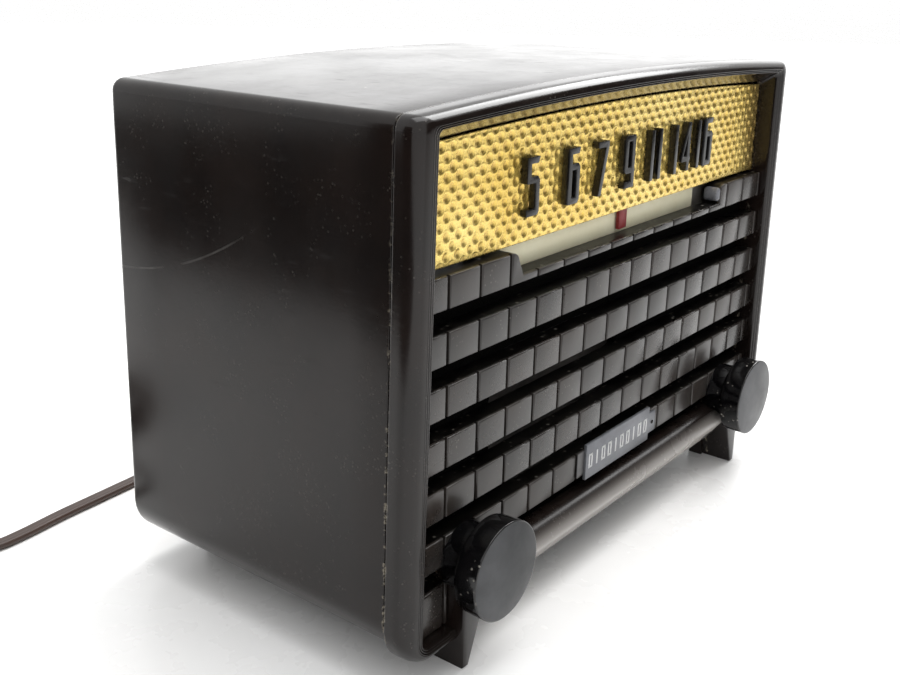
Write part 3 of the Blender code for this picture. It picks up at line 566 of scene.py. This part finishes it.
# ---------------------------------------------------------------- cabinet outlines (x-z)
HALF_WIDTH = 129.4
RECESS_HALF = 118.9
SIDE_LEVEL = 117.5
SIDE_TAPER = 0.0315
CROWN_TOP = 187.1
CROWN_DROP = 0.0002535
SHELL_BOTTOM = 13.0
BEZEL_BOTTOM = 9.5
SHELL_FRONT = 4.15
SHELL_BACK = 131.0
SHELL_WALL = 3.2
SEAM_ROUND = 0.5
REAR_ROUND = 3.0
BEZEL_FRONT = -5.0
BEZEL_BACK = 3.85
ARCH_REAR = 177.2
ARCH_FRONT = 181.6
ARCH_DROP = 0.000225
RECESS_FLOOR = 14.0
PANEL_FRONT = 4.5
PANEL_LOW = 135.8
FOOT_OUTER = 105.5
FOOT_TOE = 102.4
FIN_RADIUS = 8.7
FIN_FRONT = -7.5
FIN_BACK = 6.3
RAIL_FRONT = 0.2
RAIL_RADIUS = 6.0
RAIL_LEVEL = 25.6
RAIL_HALF = 100.0
RAIL_TANGENT = 217.6      # where the roll turns into the slanted lip, degrees
KNOB_X = 96.8
KNOB_Z = 37.2
KNOB_BACK = -8.6
KNOB_RADIUS = 16.7        # of the slightly domed face
KNOB_DEEP = 10.3
KNOB_DOME = 1.15
KNOB_FACE_FROM = 9.12     # from here to the front the knob has its metal face


def half_width(level, inset=0.0, base=HALF_WIDTH):
    """Half the width of the cabinet, or of the recess, at a height."""
    return base + SIDE_TAPER * (SIDE_LEVEL - level) - inset


def arc(cx, cz, radius, start, stop, steps):
    """Points on a circle from start to stop degrees."""
    turn = [math.radians(start + (stop - start) * i / steps) for i in range(steps + 1)]
    return [(cx + radius * math.cos(a), cz + radius * math.sin(a)) for a in turn]


def section(bottom, inset=0.0, base=HALF_WIDTH, crown=CROWN_TOP, drop=CROWN_DROP, low_corner=14.0,
            high_corner=4.5, steps=10, spans=40, sides=16, gap=None):
    """Counter-clockwise from the bottom right. gap opens it below, from x = -gap to gap."""
    low_r = max(low_corner - inset, 1.2)
    high_r = max(high_corner - inset, 1.2)
    floor = bottom + inset
    low_x = half_width(floor + low_r, inset, base) - low_r
    edge = crown - inset - drop * half_width(crown, inset, base) ** 2
    high_x = half_width(edge, inset, base) - high_r
    high_z = crown - inset - drop * high_x ** 2 - high_r
    start = gap if gap is not None else 0.0
    right = [(start + (low_x - start) * i / 6, floor) for i in range(6)]
    right += arc(low_x, floor + low_r, low_r, 270, 360, steps)
    for i in range(1, sides):
        z = floor + low_r + (high_z - floor - low_r) * i / sides
        right.append((half_width(z, inset, base), z))
    right += arc(high_x, high_z, high_r, 0, 90, steps)
    points = list(right)
    for i in range(1, spans):
        x = high_x * (1 - 2 * i / spans)
        points.append((x, crown - inset - drop * x * x))
    points += [(-x, z) for x, z in reversed(right)]
    if gap is None:
        points.pop()
    return points


def skin(name, sections, material, closed_path=True, closed_ring=True, angle=40):
    """Faces between rings of as many points. closed_path joins the last section to the first."""
    rings = [[at(x, y, z) for x, z in outline] for y, outline in sections]
    n = len(rings[0])
    points = [p for ring in rings for p in ring]
    faces = []
    count = len(rings) if closed_path else len(rings) - 1
    for i in range(count):
        a, b = i * n, ((i + 1) % len(rings)) * n
        for j in range(n if closed_ring else n - 1):
            k = (j + 1) % n
            faces.append((a + j, a + k, b + k, b + j))
    if closed_path and not closed_ring:
        faces.append(tuple(i * n for i in range(len(rings))))
        faces.append(tuple(i * n + n - 1 for i in reversed(range(len(rings)))))
    mesh = mesh_from(name, points, faces)
    outward(mesh)
    return new_object(name, mesh, material, angle=angle)


def joined(name, pieces):
    """One object from several."""
    bpy.ops.object.select_all(action="DESELECT")
    for piece in pieces:
        piece.select_set(True)
    bpy.context.view_layer.objects.active = pieces[0]
    bpy.ops.object.join()
    pieces[0].name = name
    pieces[0].data.name = name
    return pieces[0]


def block(name, low, high, material, round_edge=0.0, segments=2):
    """A box with rounded edges."""
    bm = bmesh.new()
    (x0, y0, z0), (x1, y1, z1) = low, high
    corners = [bm.verts.new(at(x, y, z)) for z in (z0, z1) for y in (y0, y1) for x in (x0, x1)]
    for a, b, c, d in ((0, 2, 3, 1), (4, 5, 7, 6), (0, 1, 5, 4), (2, 6, 7, 3), (0, 4, 6, 2),
                       (1, 3, 7, 5)):
        bm.faces.new((corners[a], corners[b], corners[c], corners[d]))
    if round_edge:
        bmesh.ops.bevel(bm, geom=bm.edges, offset=round_edge * MM, segments=segments, profile=0.5,
                        affect="EDGES")
    bmesh.ops.recalc_face_normals(bm, faces=bm.faces)
    mesh = from_bmesh(name, bm)
    return new_object(name, mesh, material, angle=50)


def slab(name, outline, y0, y1, material, round_front=0.0, round_back=0.0, segments=3, angle=50):
    """An outline in x-z pushed from y0 to y1, its front and back edges rounded."""
    bm = bmesh.new()
    front = [bm.verts.new(at(x, y0, z)) for x, z in outline]
    back = [bm.verts.new(at(x, y1, z)) for x, z in outline]
    n = len(outline)
    near = bm.faces.new(front)
    far = bm.faces.new(list(reversed(back)))
    for i in range(n):
        j = (i + 1) % n
        bm.faces.new((front[i], back[i], back[j], front[j]))
    bmesh.ops.recalc_face_normals(bm, faces=bm.faces)
    if round_front:
        bmesh.ops.bevel(bm, geom=list(near.edges), offset=round_front * MM, segments=segments, profile=0.5,
                        affect="EDGES", clamp_overlap=True)
    if round_back:
        edges = [e for e in bm.edges if all(abs(v.co.y - at(0, y1, 0).y) < 1e-7 for v in e.verts)]
        bmesh.ops.bevel(bm, geom=edges, offset=round_back * MM, segments=segments, profile=0.5,
                        affect="EDGES", clamp_overlap=True)
    mesh = from_bmesh(name, bm)
    return new_object(name, mesh, material, angle=angle)


def turned(name, profile, place, material, steps=96, axis="Y", flip=1, angle=35):
    """A closed profile of (radius, height) turned about an axis; heights run to the front, or up for Z."""
    points, faces = [], []
    n = len(profile)
    centre = Vector(at(*place))
    for i in range(steps):
        a = 2 * math.pi * i / steps
        for r, h in profile:
            if axis == "Y":
                points.append(centre + Vector((r * math.cos(a), -flip * h, r * math.sin(a))) * MM)
            else:
                points.append(centre + Vector((r * math.cos(a), r * math.sin(a), h)) * MM)
    for i in range(steps):
        j = (i + 1) % steps
        for k in range(n - 1):
            faces.append((i * n + k, j * n + k, j * n + k + 1, i * n + k + 1))
    mesh = mesh_from(name, points, faces)
    bm = bmesh.new()
    bm.from_mesh(mesh)
    bmesh.ops.remove_doubles(bm, verts=bm.verts, dist=1e-7)
    bmesh.ops.recalc_face_normals(bm, faces=bm.faces)
    bm.to_mesh(mesh)
    bm.free()
    return new_object(name, mesh, material, angle=angle)


# ---------------------------------------------------------------- cabinet shell
def make_shell():
    """The one-piece body: walls of even thickness, a soft rear edge, toes and heels below."""
    sections = []
    for k in range(5):
        a = math.radians(90 * k / 4)
        sections.append((SHELL_FRONT + SEAM_ROUND * (1 - math.sin(a)),
                         section(SHELL_BOTTOM, SEAM_ROUND * (1 - math.cos(a)))))
    sections.reverse()
    sections += [(y, section(SHELL_BOTTOM)) for y in (20.0, 50.0, 80.0, 110.0)]
    for k in range(7):
        a = math.radians(90 * k / 6)
        sections.append((SHELL_BACK - REAR_ROUND + REAR_ROUND * math.sin(a),
                         section(SHELL_BOTTOM, (REAR_ROUND - 0.1) * (1 - math.cos(a)))))
    inside = section(SHELL_BOTTOM, SHELL_WALL)
    sections += [(SHELL_BACK - 0.2, inside), (60.0, inside), (SHELL_FRONT, inside)]
    shell = skin("cabinet_shell_moulding", sections, SHELL)
    feet = [shell]
    for side in (-1, 1):
        toe = [(side * x, z) for x, z in ((FOOT_OUTER, 0.0), (FOOT_OUTER, 15.0), (96.0, 15.0),
                                          (FOOT_TOE - 2.0, 0.0))]
        feet.append(slab("shell_toe", toe, 6.35, 13.0, SHELL, 0.5, 0.5))
        heel = [(side * x, z) for x, z in ((106, 0.0), (107, 15.0), (89, 15.0), (90, 0.0))]
        feet.append(slab("shell_heel", heel, 108.0, 122.0, SHELL, 0.8, 0.8))
    shell = joined("cabinet_shell_moulding", feet)
    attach(shell, "radio")
    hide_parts("cabinet_shell")


# ---------------------------------------------------------------- front moulding
INNER_STEP = 1.2          # how far the rim falls back towards its inner edge
FLUTE_DEEP = 0.6
ROWS = ((124.2, 134.7), (106.5, 116.9), (89.1, 99.5), (71.7, 82.1), (54.4, 64.8), (37.0, 47.4),
        (14.6, 30.0))
GROOVES = [-106.8 + 16.0 * i for i in range(15)]
GROOVE_HALF = 0.6
SILL = 126.7
NOTCH_LEFT = -69.2
NOTCH_RIGHT = 78.5
NOTCH_ROUND = 3.0
BAR_FRONT = 1.3
BAR_BACK = 7.5
LAST_BAR_INNER = 86.0     # the last row is there only near the sides, behind the knobs
LAST_TILE_INNER = 85.0
GRILLE_CLOTH = ((-118.2, 8.15, 99.0), (118.2, 8.5, 121.2))
WINDOW_STOP = ((76.6, 0.35, 127.7), (80.9, 7.3, 133.4))


def mixed(a, b, t):
    """The outline a part t of the way from a to b."""
    return [(p[0] + (q[0] - p[0]) * t, p[1] + (q[1] - p[1]) * t) for p, q in zip(a, b)]


def make_rim():
    """The rim round the grille: a rounded outer edge, three fine flutes and a flared inner wall."""
    gap = 103.6
    outer = section(BEZEL_BOTTOM, 0.0, gap=gap)

    def inner(arch, wider=0.0):
        return section(RECESS_FLOOR - wider, 0.0, RECESS_HALF + wider, arch + wider, ARCH_DROP,
                       3.0 + wider, 2.0 + wider, gap=gap)

    edge = inner(ARCH_FRONT)
    round_share, flutes, round_deep = 0.60, 3, 5.6
    sections = [(BEZEL_BACK, mixed(outer, edge, 0.02)), (BEZEL_BACK - 0.25, mixed(outer, edge, 0.004)),
                (BEZEL_BACK - 0.6, outer), (BEZEL_BACK - 0.9, outer), (BEZEL_BACK - 2.0, outer),
                (BEZEL_FRONT + round_deep, outer)]
    steps = 10
    for k in range(1, steps + 1):
        a = math.radians(90 * k / steps)
        share = round_share * (1 - math.cos(a) ** 0.9)
        sections.append((BEZEL_FRONT + round_deep * (1 - math.sin(a) ** 0.9), mixed(outer, edge, share)))
    width = (1.0 - round_share) / flutes
    for k in range(flutes):
        for j in range(1, 9):
            t = j / 8
            deep = FLUTE_DEEP * (1 - abs(math.sin(math.pi * t)) ** 0.6)
            deep += INNER_STEP * ((k + t) / flutes) ** 1.5
            sections.append((BEZEL_FRONT + deep, mixed(outer, edge, round_share + width * (k + t))))
    for k in range(1, 7):
        t = k / 6
        start = BEZEL_FRONT + FLUTE_DEEP + INNER_STEP
        y = start + (PANEL_FRONT - 0.4 - start) * t
        sections.append((y, inner(ARCH_FRONT + (ARCH_REAR - ARCH_FRONT) * t)))
    sections += [(9.0, inner(ARCH_REAR)), (9.0, inner(ARCH_REAR, 1.6)), (BEZEL_BACK, inner(ARCH_REAR, 1.6))]
    rim = skin("front_rim", sections, RIM, closed_ring=False, angle=55)
    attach(rim, "radio")
    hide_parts("front_bezel")


def tile(name, corners, back=1.6, edge=0.55):
    """One raised tile: a flat face with soft edges. corners run counter-clockwise."""
    return slab(name, corners, 0.0, back, TILES, edge, 0.0, 3, 60)


def notch_left(high):
    """The rounded corner of the first row left of the window."""
    return arc(NOTCH_LEFT - 4.0, high - NOTCH_ROUND, NOTCH_ROUND, 12, 90, 6)


def notch_right(high):
    """The rounded corner of the first row right of the window."""
    return arc(NOTCH_RIGHT + NOTCH_ROUND, high - NOTCH_ROUND, NOTCH_ROUND, 90, 180, 6)


def tile_outline(number, left, right, left_top, right_top):
    """A tile's corners. The first row drops to the sill along the window."""
    low, high = ROWS[number]
    if number == 0:
        if left > NOTCH_LEFT + 2 and right < NOTCH_RIGHT:
            return [(left, low), (right, low), (right, SILL), (left, SILL)]
        if left < NOTCH_LEFT < right:
            return [(left, low), (right, low), (right, SILL), (NOTCH_LEFT + 1.6, SILL),
                    *notch_left(high), (left, high)]
        if left < NOTCH_RIGHT < right:
            return [(left, low), (right, low), (right, high), *notch_right(high),
                    (NOTCH_RIGHT, SILL), (left, SILL)]
    return [(left, low), (right, low), (right_top, high), (left_top, high)]


def bar_outlines(number, wall, wall_top):
    """The plain bar behind a row of tiles, which is two short pieces in the last row."""
    low, high = ROWS[number]
    if number == len(ROWS) - 1:
        outlines = []
        for side in (-1, 1):
            edge = sorted((side * LAST_BAR_INNER, side * wall))
            top_edge = sorted((side * LAST_BAR_INNER, side * wall_top))
            outlines.append([(edge[0], low), (edge[1], low), (top_edge[1], high), (top_edge[0], high)])
        return outlines
    shape = [(-wall, low), (wall, low), (wall_top, high)]
    if number == 0:
        shape += notch_right(high)
        shape += [(NOTCH_RIGHT, SILL), (NOTCH_LEFT + 1.6, SILL)]
        shape += notch_left(high)
    return [[*shape, (-wall_top, high)]]


def make_grille():
    """Seven rows of tiles on their bars, and the cloth seen through the first slots."""
    tiles, bars = [], []
    dice = random.Random(4)
    cuts = [None, *GROOVES, None]
    for number, (low, high) in enumerate(ROWS):
        wall = half_width(low, 0.0, RECESS_HALF) + 0.3
        wall_top = half_width(high, 0.0, RECESS_HALF) + 0.3
        for i in range(len(cuts) - 1):
            left = -wall if cuts[i] is None else cuts[i] + GROOVE_HALF
            left_top = -wall_top if cuts[i] is None else left
            right = wall if cuts[i + 1] is None else cuts[i + 1] - GROOVE_HALF
            right_top = wall_top if cuts[i + 1] is None else right
            beside = right < -LAST_TILE_INNER or left > LAST_TILE_INNER
            if number == len(ROWS) - 1 and not beside:
                continue
            shape = tile_outline(number, left, right, left_top, right_top)
            shift = dice.uniform(-0.03, 0.03)
            piece = tile(f"tile_{number}_{i}", shape)
            piece.data.transform(Matrix.Translation((0, shift * MM, 0)))
            tiles.append(piece)
        for shape in bar_outlines(number, wall, wall_top):
            bars.append(slab(f"bar_{number}", shape, BAR_FRONT, BAR_BACK, BARS, 0.0, 0.3))
    # The backing is the near-black cloth, a sheet of painted shade behind the first slots.
    backing = block("grille_backing", *GRILLE_CLOTH, CLOTH)
    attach(backing, "radio")
    field = joined("grille_tiles", tiles)
    rods = joined("grille_bars", bars)
    for piece in (field, rods):
        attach(piece, "radio")


def make_stop():
    """The pale end of the dial window."""
    body = block("window_stop", *WINDOW_STOP, STOP, 1.4, 4)
    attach(body, "radio")


def make_fins():
    """The two fins that end in the front feet, each with a round boss behind its knob."""
    boss = [(11.7, 0.0), (11.7, 6.6), (11.3, 7.0), (0.0, 7.0)]
    pieces = []
    for side in (-1, 1):
        head = arc(KNOB_X, KNOB_Z, FIN_RADIUS, 0, 180, 24)
        outline = [(side * x, z) for x, z in ((FOOT_OUTER, 0.0), *head, (FOOT_TOE, 0.0))]
        pieces.append(slab("fin", outline, FIN_FRONT, FIN_BACK, RIM, 0.7, 0.0, 3, 45))
        # The boss takes the knob's near-black material, not the fin's. This is painted shade behind the
        # knob.
        pieces.append(turned("boss", boss, (side * KNOB_X, 0.2, KNOB_Z), KNOB_SIDE, 64))
    return joined("foot_fins", pieces)


def make_rail():
    """The rolled rail under the grille with its slanted lip, as one long extrusion."""
    roll = arc(RAIL_FRONT, RAIL_LEVEL, RAIL_RADIUS, 90, RAIL_TANGENT, 26)
    roll += [(3.3, 11.6), (3.75, 11.1), (BEZEL_BACK, 11.6), (BEZEL_BACK, 31.6)]
    bm = bmesh.new()
    rings = []
    for x in np.linspace(-RAIL_HALF, RAIL_HALF, 48):
        rings.append([bm.verts.new(at(x, y, z)) for y, z in roll])
    for a, b in zip(rings, rings[1:]):
        for j in range(len(roll)):
            k = (j + 1) % len(roll)
            bm.faces.new((a[j], a[k], b[k], b[j]))
    bm.faces.new(rings[0])
    bm.faces.new(list(reversed(rings[-1])))
    bmesh.ops.recalc_face_normals(bm, faces=bm.faces)
    return new_object("front_rail", from_bmesh("front_rail", bm), RAIL, angle=50)


def make_feet():
    """The fins and the rail between them."""
    fins = make_fins()
    rail = make_rail()
    for piece in (fins, rail):
        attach(piece, "radio")


# ---------------------------------------------------------------- knobs
def make_knob(name, side, body):
    """A plain round knob with a domed metal face and a hollow back, turned in one piece."""
    face = [(0, KNOB_DEEP)]
    for k in range(1, 17):
        r = KNOB_RADIUS * k / 16
        face.append((r, KNOB_DEEP - KNOB_DOME * (r / KNOB_RADIUS) ** 2.2))
    lip = [(16.92, 9.08), (17.08, 8.93), (17.12, 8.7), (17.1, 8.3)]
    wall = [(17.0, 6.0), (16.9, 3.0), (16.8, 1.0), (16.6, 0.35), (16.1, 0.0), (12.0, 0.0), (11.6, 0.5),
            (4.4, 0.5), (4.0, 0.0), (0, 0)]
    knob = turned(f"{name}_turning", face + lip + wall, (side * KNOB_X, KNOB_BACK, KNOB_Z), KNOB_SIDE,
                  128, angle=40)
    knob.data.materials.append(KNOB_RIGHT if side > 0 else KNOB_LEFT)
    front = at(0, KNOB_BACK - KNOB_FACE_FROM, 0).y
    for polygon in knob.data.polygons:
        if polygon.center.y < front:
            polygon.material_index = 1
    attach(knob, body)
    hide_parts(name)
    return knob


# ---------------------------------------------------------------- gold panel
PIT_PITCH_X = 5.9
PIT_PITCH_Z = 2.98
PIT_RADIUS = 1.7
PIT_DEEP = 0.52
PANEL_TOP = 176.6
CURL_WIDE = 15.0


def make_panel():
    """Embossed sheet: staggered round pits, its right end curling forward."""
    columns, rows = 700, 116
    low = PANEL_LOW
    points, pits, shades = [], [], []
    dice = random.Random(11)
    wobble = {}

    def pit_at(x, z):
        """How deep the sheet is pressed at a point; a raised lip rings each pit."""
        deepest = 0.0
        row0 = round((z - low) / PIT_PITCH_Z)
        for row in range(row0 - 1, row0 + 2):
            offset = 0.5 * PIT_PITCH_X if row % 2 else 0.0
            col0 = round((x - offset) / PIT_PITCH_X)
            for col in range(col0 - 1, col0 + 2):
                key = (row, col)
                if key not in wobble:
                    wobble[key] = (dice.uniform(-0.18, 0.18), dice.uniform(-0.12, 0.12),
                                   dice.uniform(0.86, 1.08))
                dx, dz, size = wobble[key]
                cx, cz = offset + col * PIT_PITCH_X + dx, low + row * PIT_PITCH_Z + dz
                d = math.hypot(x - cx, z - cz) / (PIT_RADIUS * size)
                if d < 1.35:
                    lip = -0.22 * math.exp(-((d - 1.08) / 0.17) ** 2)
                    deepest += max(0.0, 1 - d * d) ** 1.1 * size + lip
        return deepest

    for i in range(columns + 1):
        s = i / columns
        for j in range(rows + 1):
            t = j / rows
            x_rough = -120.0 + 240.0 * s
            top = PANEL_TOP - ARCH_DROP * x_rough ** 2
            z = low + (top - low) * t
            wide = half_width(z, 0.35, RECESS_HALF)
            x = -wide + 2 * wide * s
            deep = pit_at(x, z)
            curl = max(0.0, (x - (wide - CURL_WIDE)) / CURL_WIDE)
            edge = min(1.0, max(0.0, (z - low - 0.6) / 1.2), max(0.0, (top - z - 0.2) / 0.9))
            y = PANEL_FRONT + PIT_DEEP * deep * edge - 0.5 * curl ** 2.0
            points.append(at(x, y, z))
            pits.append(deep)
            # The shade attribute carries the painted shade of the right end.
            shades.append(min(1.0, curl * 1.1))
    faces = []
    n = rows + 1
    for i in range(columns):
        for j in range(rows):
            faces.append((i * n + j, (i + 1) * n + j, (i + 1) * n + j + 1, i * n + j + 1))
    mesh = bpy.data.meshes.new("gold_panel")
    mesh.from_pydata(points, [], faces)
    for name, values in (("pit", pits), ("shade", shades)):
        mesh.attributes.new(name, "FLOAT", "POINT").data.foreach_set("value", values)
    panel = new_object("embossed_panel", mesh, GOLD)
    thick = panel.modifiers.new("Thick", "SOLIDIFY")
    thick.thickness = 0.4 * MM
    thick.offset = -1
    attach(panel, "radio")
    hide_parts("dial_panel")


# ---------------------------------------------------------------- small pieces
PLATE_FRONT = -1.5
PLATE_BACK = -0.3
MARK_LOW = 40.2
MARK_HIGH = 46.0
MARK_DEEP = (-1.58, -1.4)
SCREW_X = 116
SCREW_Z = 82


def soften(name, width, segments=2):
    """Rounds the edges of a CAD node that stays."""
    body = NODES[name]
    weld = body.modifiers.new("Weld", "WELD")
    weld.merge_threshold = 0.000002
    bevel = body.modifiers.new("Edges", "BEVEL")
    bevel.width = width * MM
    bevel.segments = segments
    bevel.limit_method = "ANGLE"
    bevel.angle_limit = math.radians(40)
    bevel.harden_normals = False


def make_marks():
    """Ten plain marks in place of lettering: a bar at every third place, else a ring."""
    y0, y1 = MARK_DEEP
    marks = []
    for k in range(10):
        x = -20.6 + 4.75 * k
        if k % 3 == 1:
            marks.append(block("plate_mark", (x + 0.9, y0, MARK_LOW), (x + 1.8, y1, MARK_HIGH), LETTER,
                               0.05, 1))
            continue
        ring = ((x, MARK_LOW, x + 0.8, MARK_HIGH), (x + 1.9, MARK_LOW, x + 2.7, MARK_HIGH),
                (x + 0.4, 45.2, x + 2.3, MARK_HIGH), (x + 0.4, MARK_LOW, x + 2.3, 41.0))
        for x0, z0, x1, z1 in ring:
            marks.append(block("plate_mark", (x0, y0, z0), (x1, y1, z1), LETTER))
    return joined("name_plate_lines", marks)


def make_nameplate():
    """A plain plate with a tab at each end, thin marks in place of lettering, and one pin."""
    outline = [(-22.4, 35.9), (26.8, 35.9), (26.8, 38.6), (32.0, 38.6), (32.0, 47.4), (26.8, 47.4),
               (26.8, 50.3), (-22.4, 50.3)]
    tab_outline = [(-27.2, 38.4), (-22.0, 38.4), (-22.0, 48.0), (-27.2, 48.0)]
    plate = slab("name_plate", outline, PLATE_FRONT, PLATE_BACK, PLATE, 0.18, 0.0, 2, 40)
    tab = slab("name_plate_tab", tab_outline, -0.55, PLATE_BACK, TAB, 0.1, 0.0, 1, 40)
    plate = joined("name_plate", [plate, tab])
    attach(plate, "radio")
    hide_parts("nameplate")
    lines = make_marks()
    pin_profile = [(0, 0.45), (0.5, 0.4), (0.8, 0.2), (0.85, 0), (0, 0)]
    pin = turned("name_plate_pins", pin_profile, (29.4, PLATE_FRONT, 43.0), BLACK, 20)
    for piece in (lines, pin):
        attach(piece, "radio")


def make_screw(name, side):
    """A domed back screw with its slot cut in."""
    profile = [(0, 1.9), (1.6, 1.75), (2.6, 1.3), (3.2, 0.5), (3.2, 0.0), (1.2, 0.0), (1.2, -9.0), (0, -9.4)]
    middle = side * SCREW_X
    head = turned(f"{name}_slotted", profile, (middle, 129.0, SCREW_Z), BRASS, 40, flip=-1)
    slot = block("slot", (middle - 4, 130.15, SCREW_Z - 0.4), (middle + 4, 133, SCREW_Z + 0.4),
                 DARK_STEEL)
    cut = head.modifiers.new("Slot", "BOOLEAN")
    cut.operation = "DIFFERENCE"
    cut.object = slot
    bpy.context.view_layer.objects.active = head
    bpy.ops.object.modifier_apply(modifier=cut.name)
    bpy.data.objects.remove(slot)
    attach(head, "radio")
    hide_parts(name)


def make_cord():
    """The flat flex in place of both round CAD cords."""
    flex, line = flat_cord(FLEX)
    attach(flex, "radio")
    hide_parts("power_cord", "power_cord_coil")


make_cord()
make_shell()
make_rim()
make_grille()
make_feet()
make_stop()
make_knob("volume_knob", -1, "volume_knob")
make_knob("tuning_knob", 1, "tuning_knob")
make_panel()
make_nameplate()
make_screw("back_screw_left", -1)
make_screw("back_screw_right", 1)
for name in NODES:
    if name.startswith("numeral_"):
        soften(name, 0.3, 3)
soften("dial_scale_strip", 0.2)
soften("dial_pointer", 0.25)


# ---------------------------------------------------------------- stage and light
WORLD_STRENGTH = 1.06
LAMPS = (
    # name, place, aim, size in metres, watts
    ("overhead", (0.2, -0.1, 1.8), (0, 0, 0), (1.4, 1.4), 22),
    ("softbox_right", (1.2, 0.05, 1.15), (0, 0, 0.15), (1.0, 0.75), 17),
    ("back_right", (2.6, 1.5, 0.55), (0, 0, 0.1), (3.2, 1.2), 9),
)
# Two dark cards that only reflections see: floor and wall on the left, and one at the front right.
CARD_POINTS = [(-2.6, -0.5, 0.004), (-0.46, -0.5, 0.004), (-0.46, 1.8, 0.004), (-2.6, 1.8, 0.004),
               (-2.6, -0.5, 1.7), (-2.6, 1.8, 1.7),
               (0.3, -2.6, 0.02), (3.4, -1.2, 0.02), (3.4, -1.2, 2.0), (0.3, -2.6, 2.0)]
CARD_FACES = [(0, 1, 2, 3), (0, 3, 5, 4), (6, 7, 8, 9)]


def table_white():
    """Pale polished table top with faint stains and veins."""
    look = Look("pale_table", Specular_IOR_Level=0.5)
    stain = look.span(look.noise(7, 4, 0.55), 0.35, 0.75)
    colour = look.blend(stain, rgb(0.95, 0.95, 0.945), rgb(0.90, 0.897, 0.885))
    veins = look.span(look.noise(24, 5, 0.6, None, 1.5), 0.62, 0.8, 0.0, 0.35)
    colour = look.blend(veins, colour, rgb(0.86, 0.857, 0.845))
    look.bump(look.noise(160, 3, 0.5), 0.03, 0.0004)
    return look.done(colour, look.span(look.noise(30, 4, 0.6), 0.3, 0.7, 0.2, 0.34))


def card_black():
    """Matt near-black card."""
    look = Look("dark_card", Specular_IOR_Level=0.1)
    colour = look.blend(look.noise(2, 2, 0.5), rgb(0.012, 0.012, 0.012), rgb(0.03, 0.03, 0.03))
    return look.done(colour, 0.9)


def lamp(name, place, aim, size, power):
    """A rectangular lamp turned towards a point."""
    data = bpy.data.lights.new(name, "AREA")
    data.shape = "RECTANGLE"
    data.size, data.size_y = size
    data.energy = power
    body = bpy.data.objects.new(name, data)
    bpy.context.scene.collection.objects.link(body)
    body.location = place
    body.rotation_euler = (Vector(aim) - Vector(place)).to_track_quat("-Z", "Y").to_euler()


def make_stage():
    """Table top, dark cards, an even white surrounding and three lamps."""
    table = mesh_from("table_top", [(-9, -9, 0), (9, -9, 0), (9, 9, 0), (-9, 9, 0)], [(0, 1, 2, 3)])
    floor = new_object("table_top", table, table_white(), smooth=False)

    card_mesh = mesh_from("dark_card", CARD_POINTS, CARD_FACES)
    card = new_object("dark_card", card_mesh, card_black(), smooth=False)
    card.visible_camera = False

    world = bpy.data.worlds.new("studio")
    bpy.context.scene.world = world
    world.use_nodes = True
    back = world.node_tree.nodes["Background"]
    back.inputs["Color"].default_value = (1.0, 1.0, 1.0, 1.0)
    back.inputs["Strength"].default_value = WORLD_STRENGTH
    for row in LAMPS:
        lamp(*row)


make_stage()
bpy.context.scene.view_settings.view_transform = "Standard"
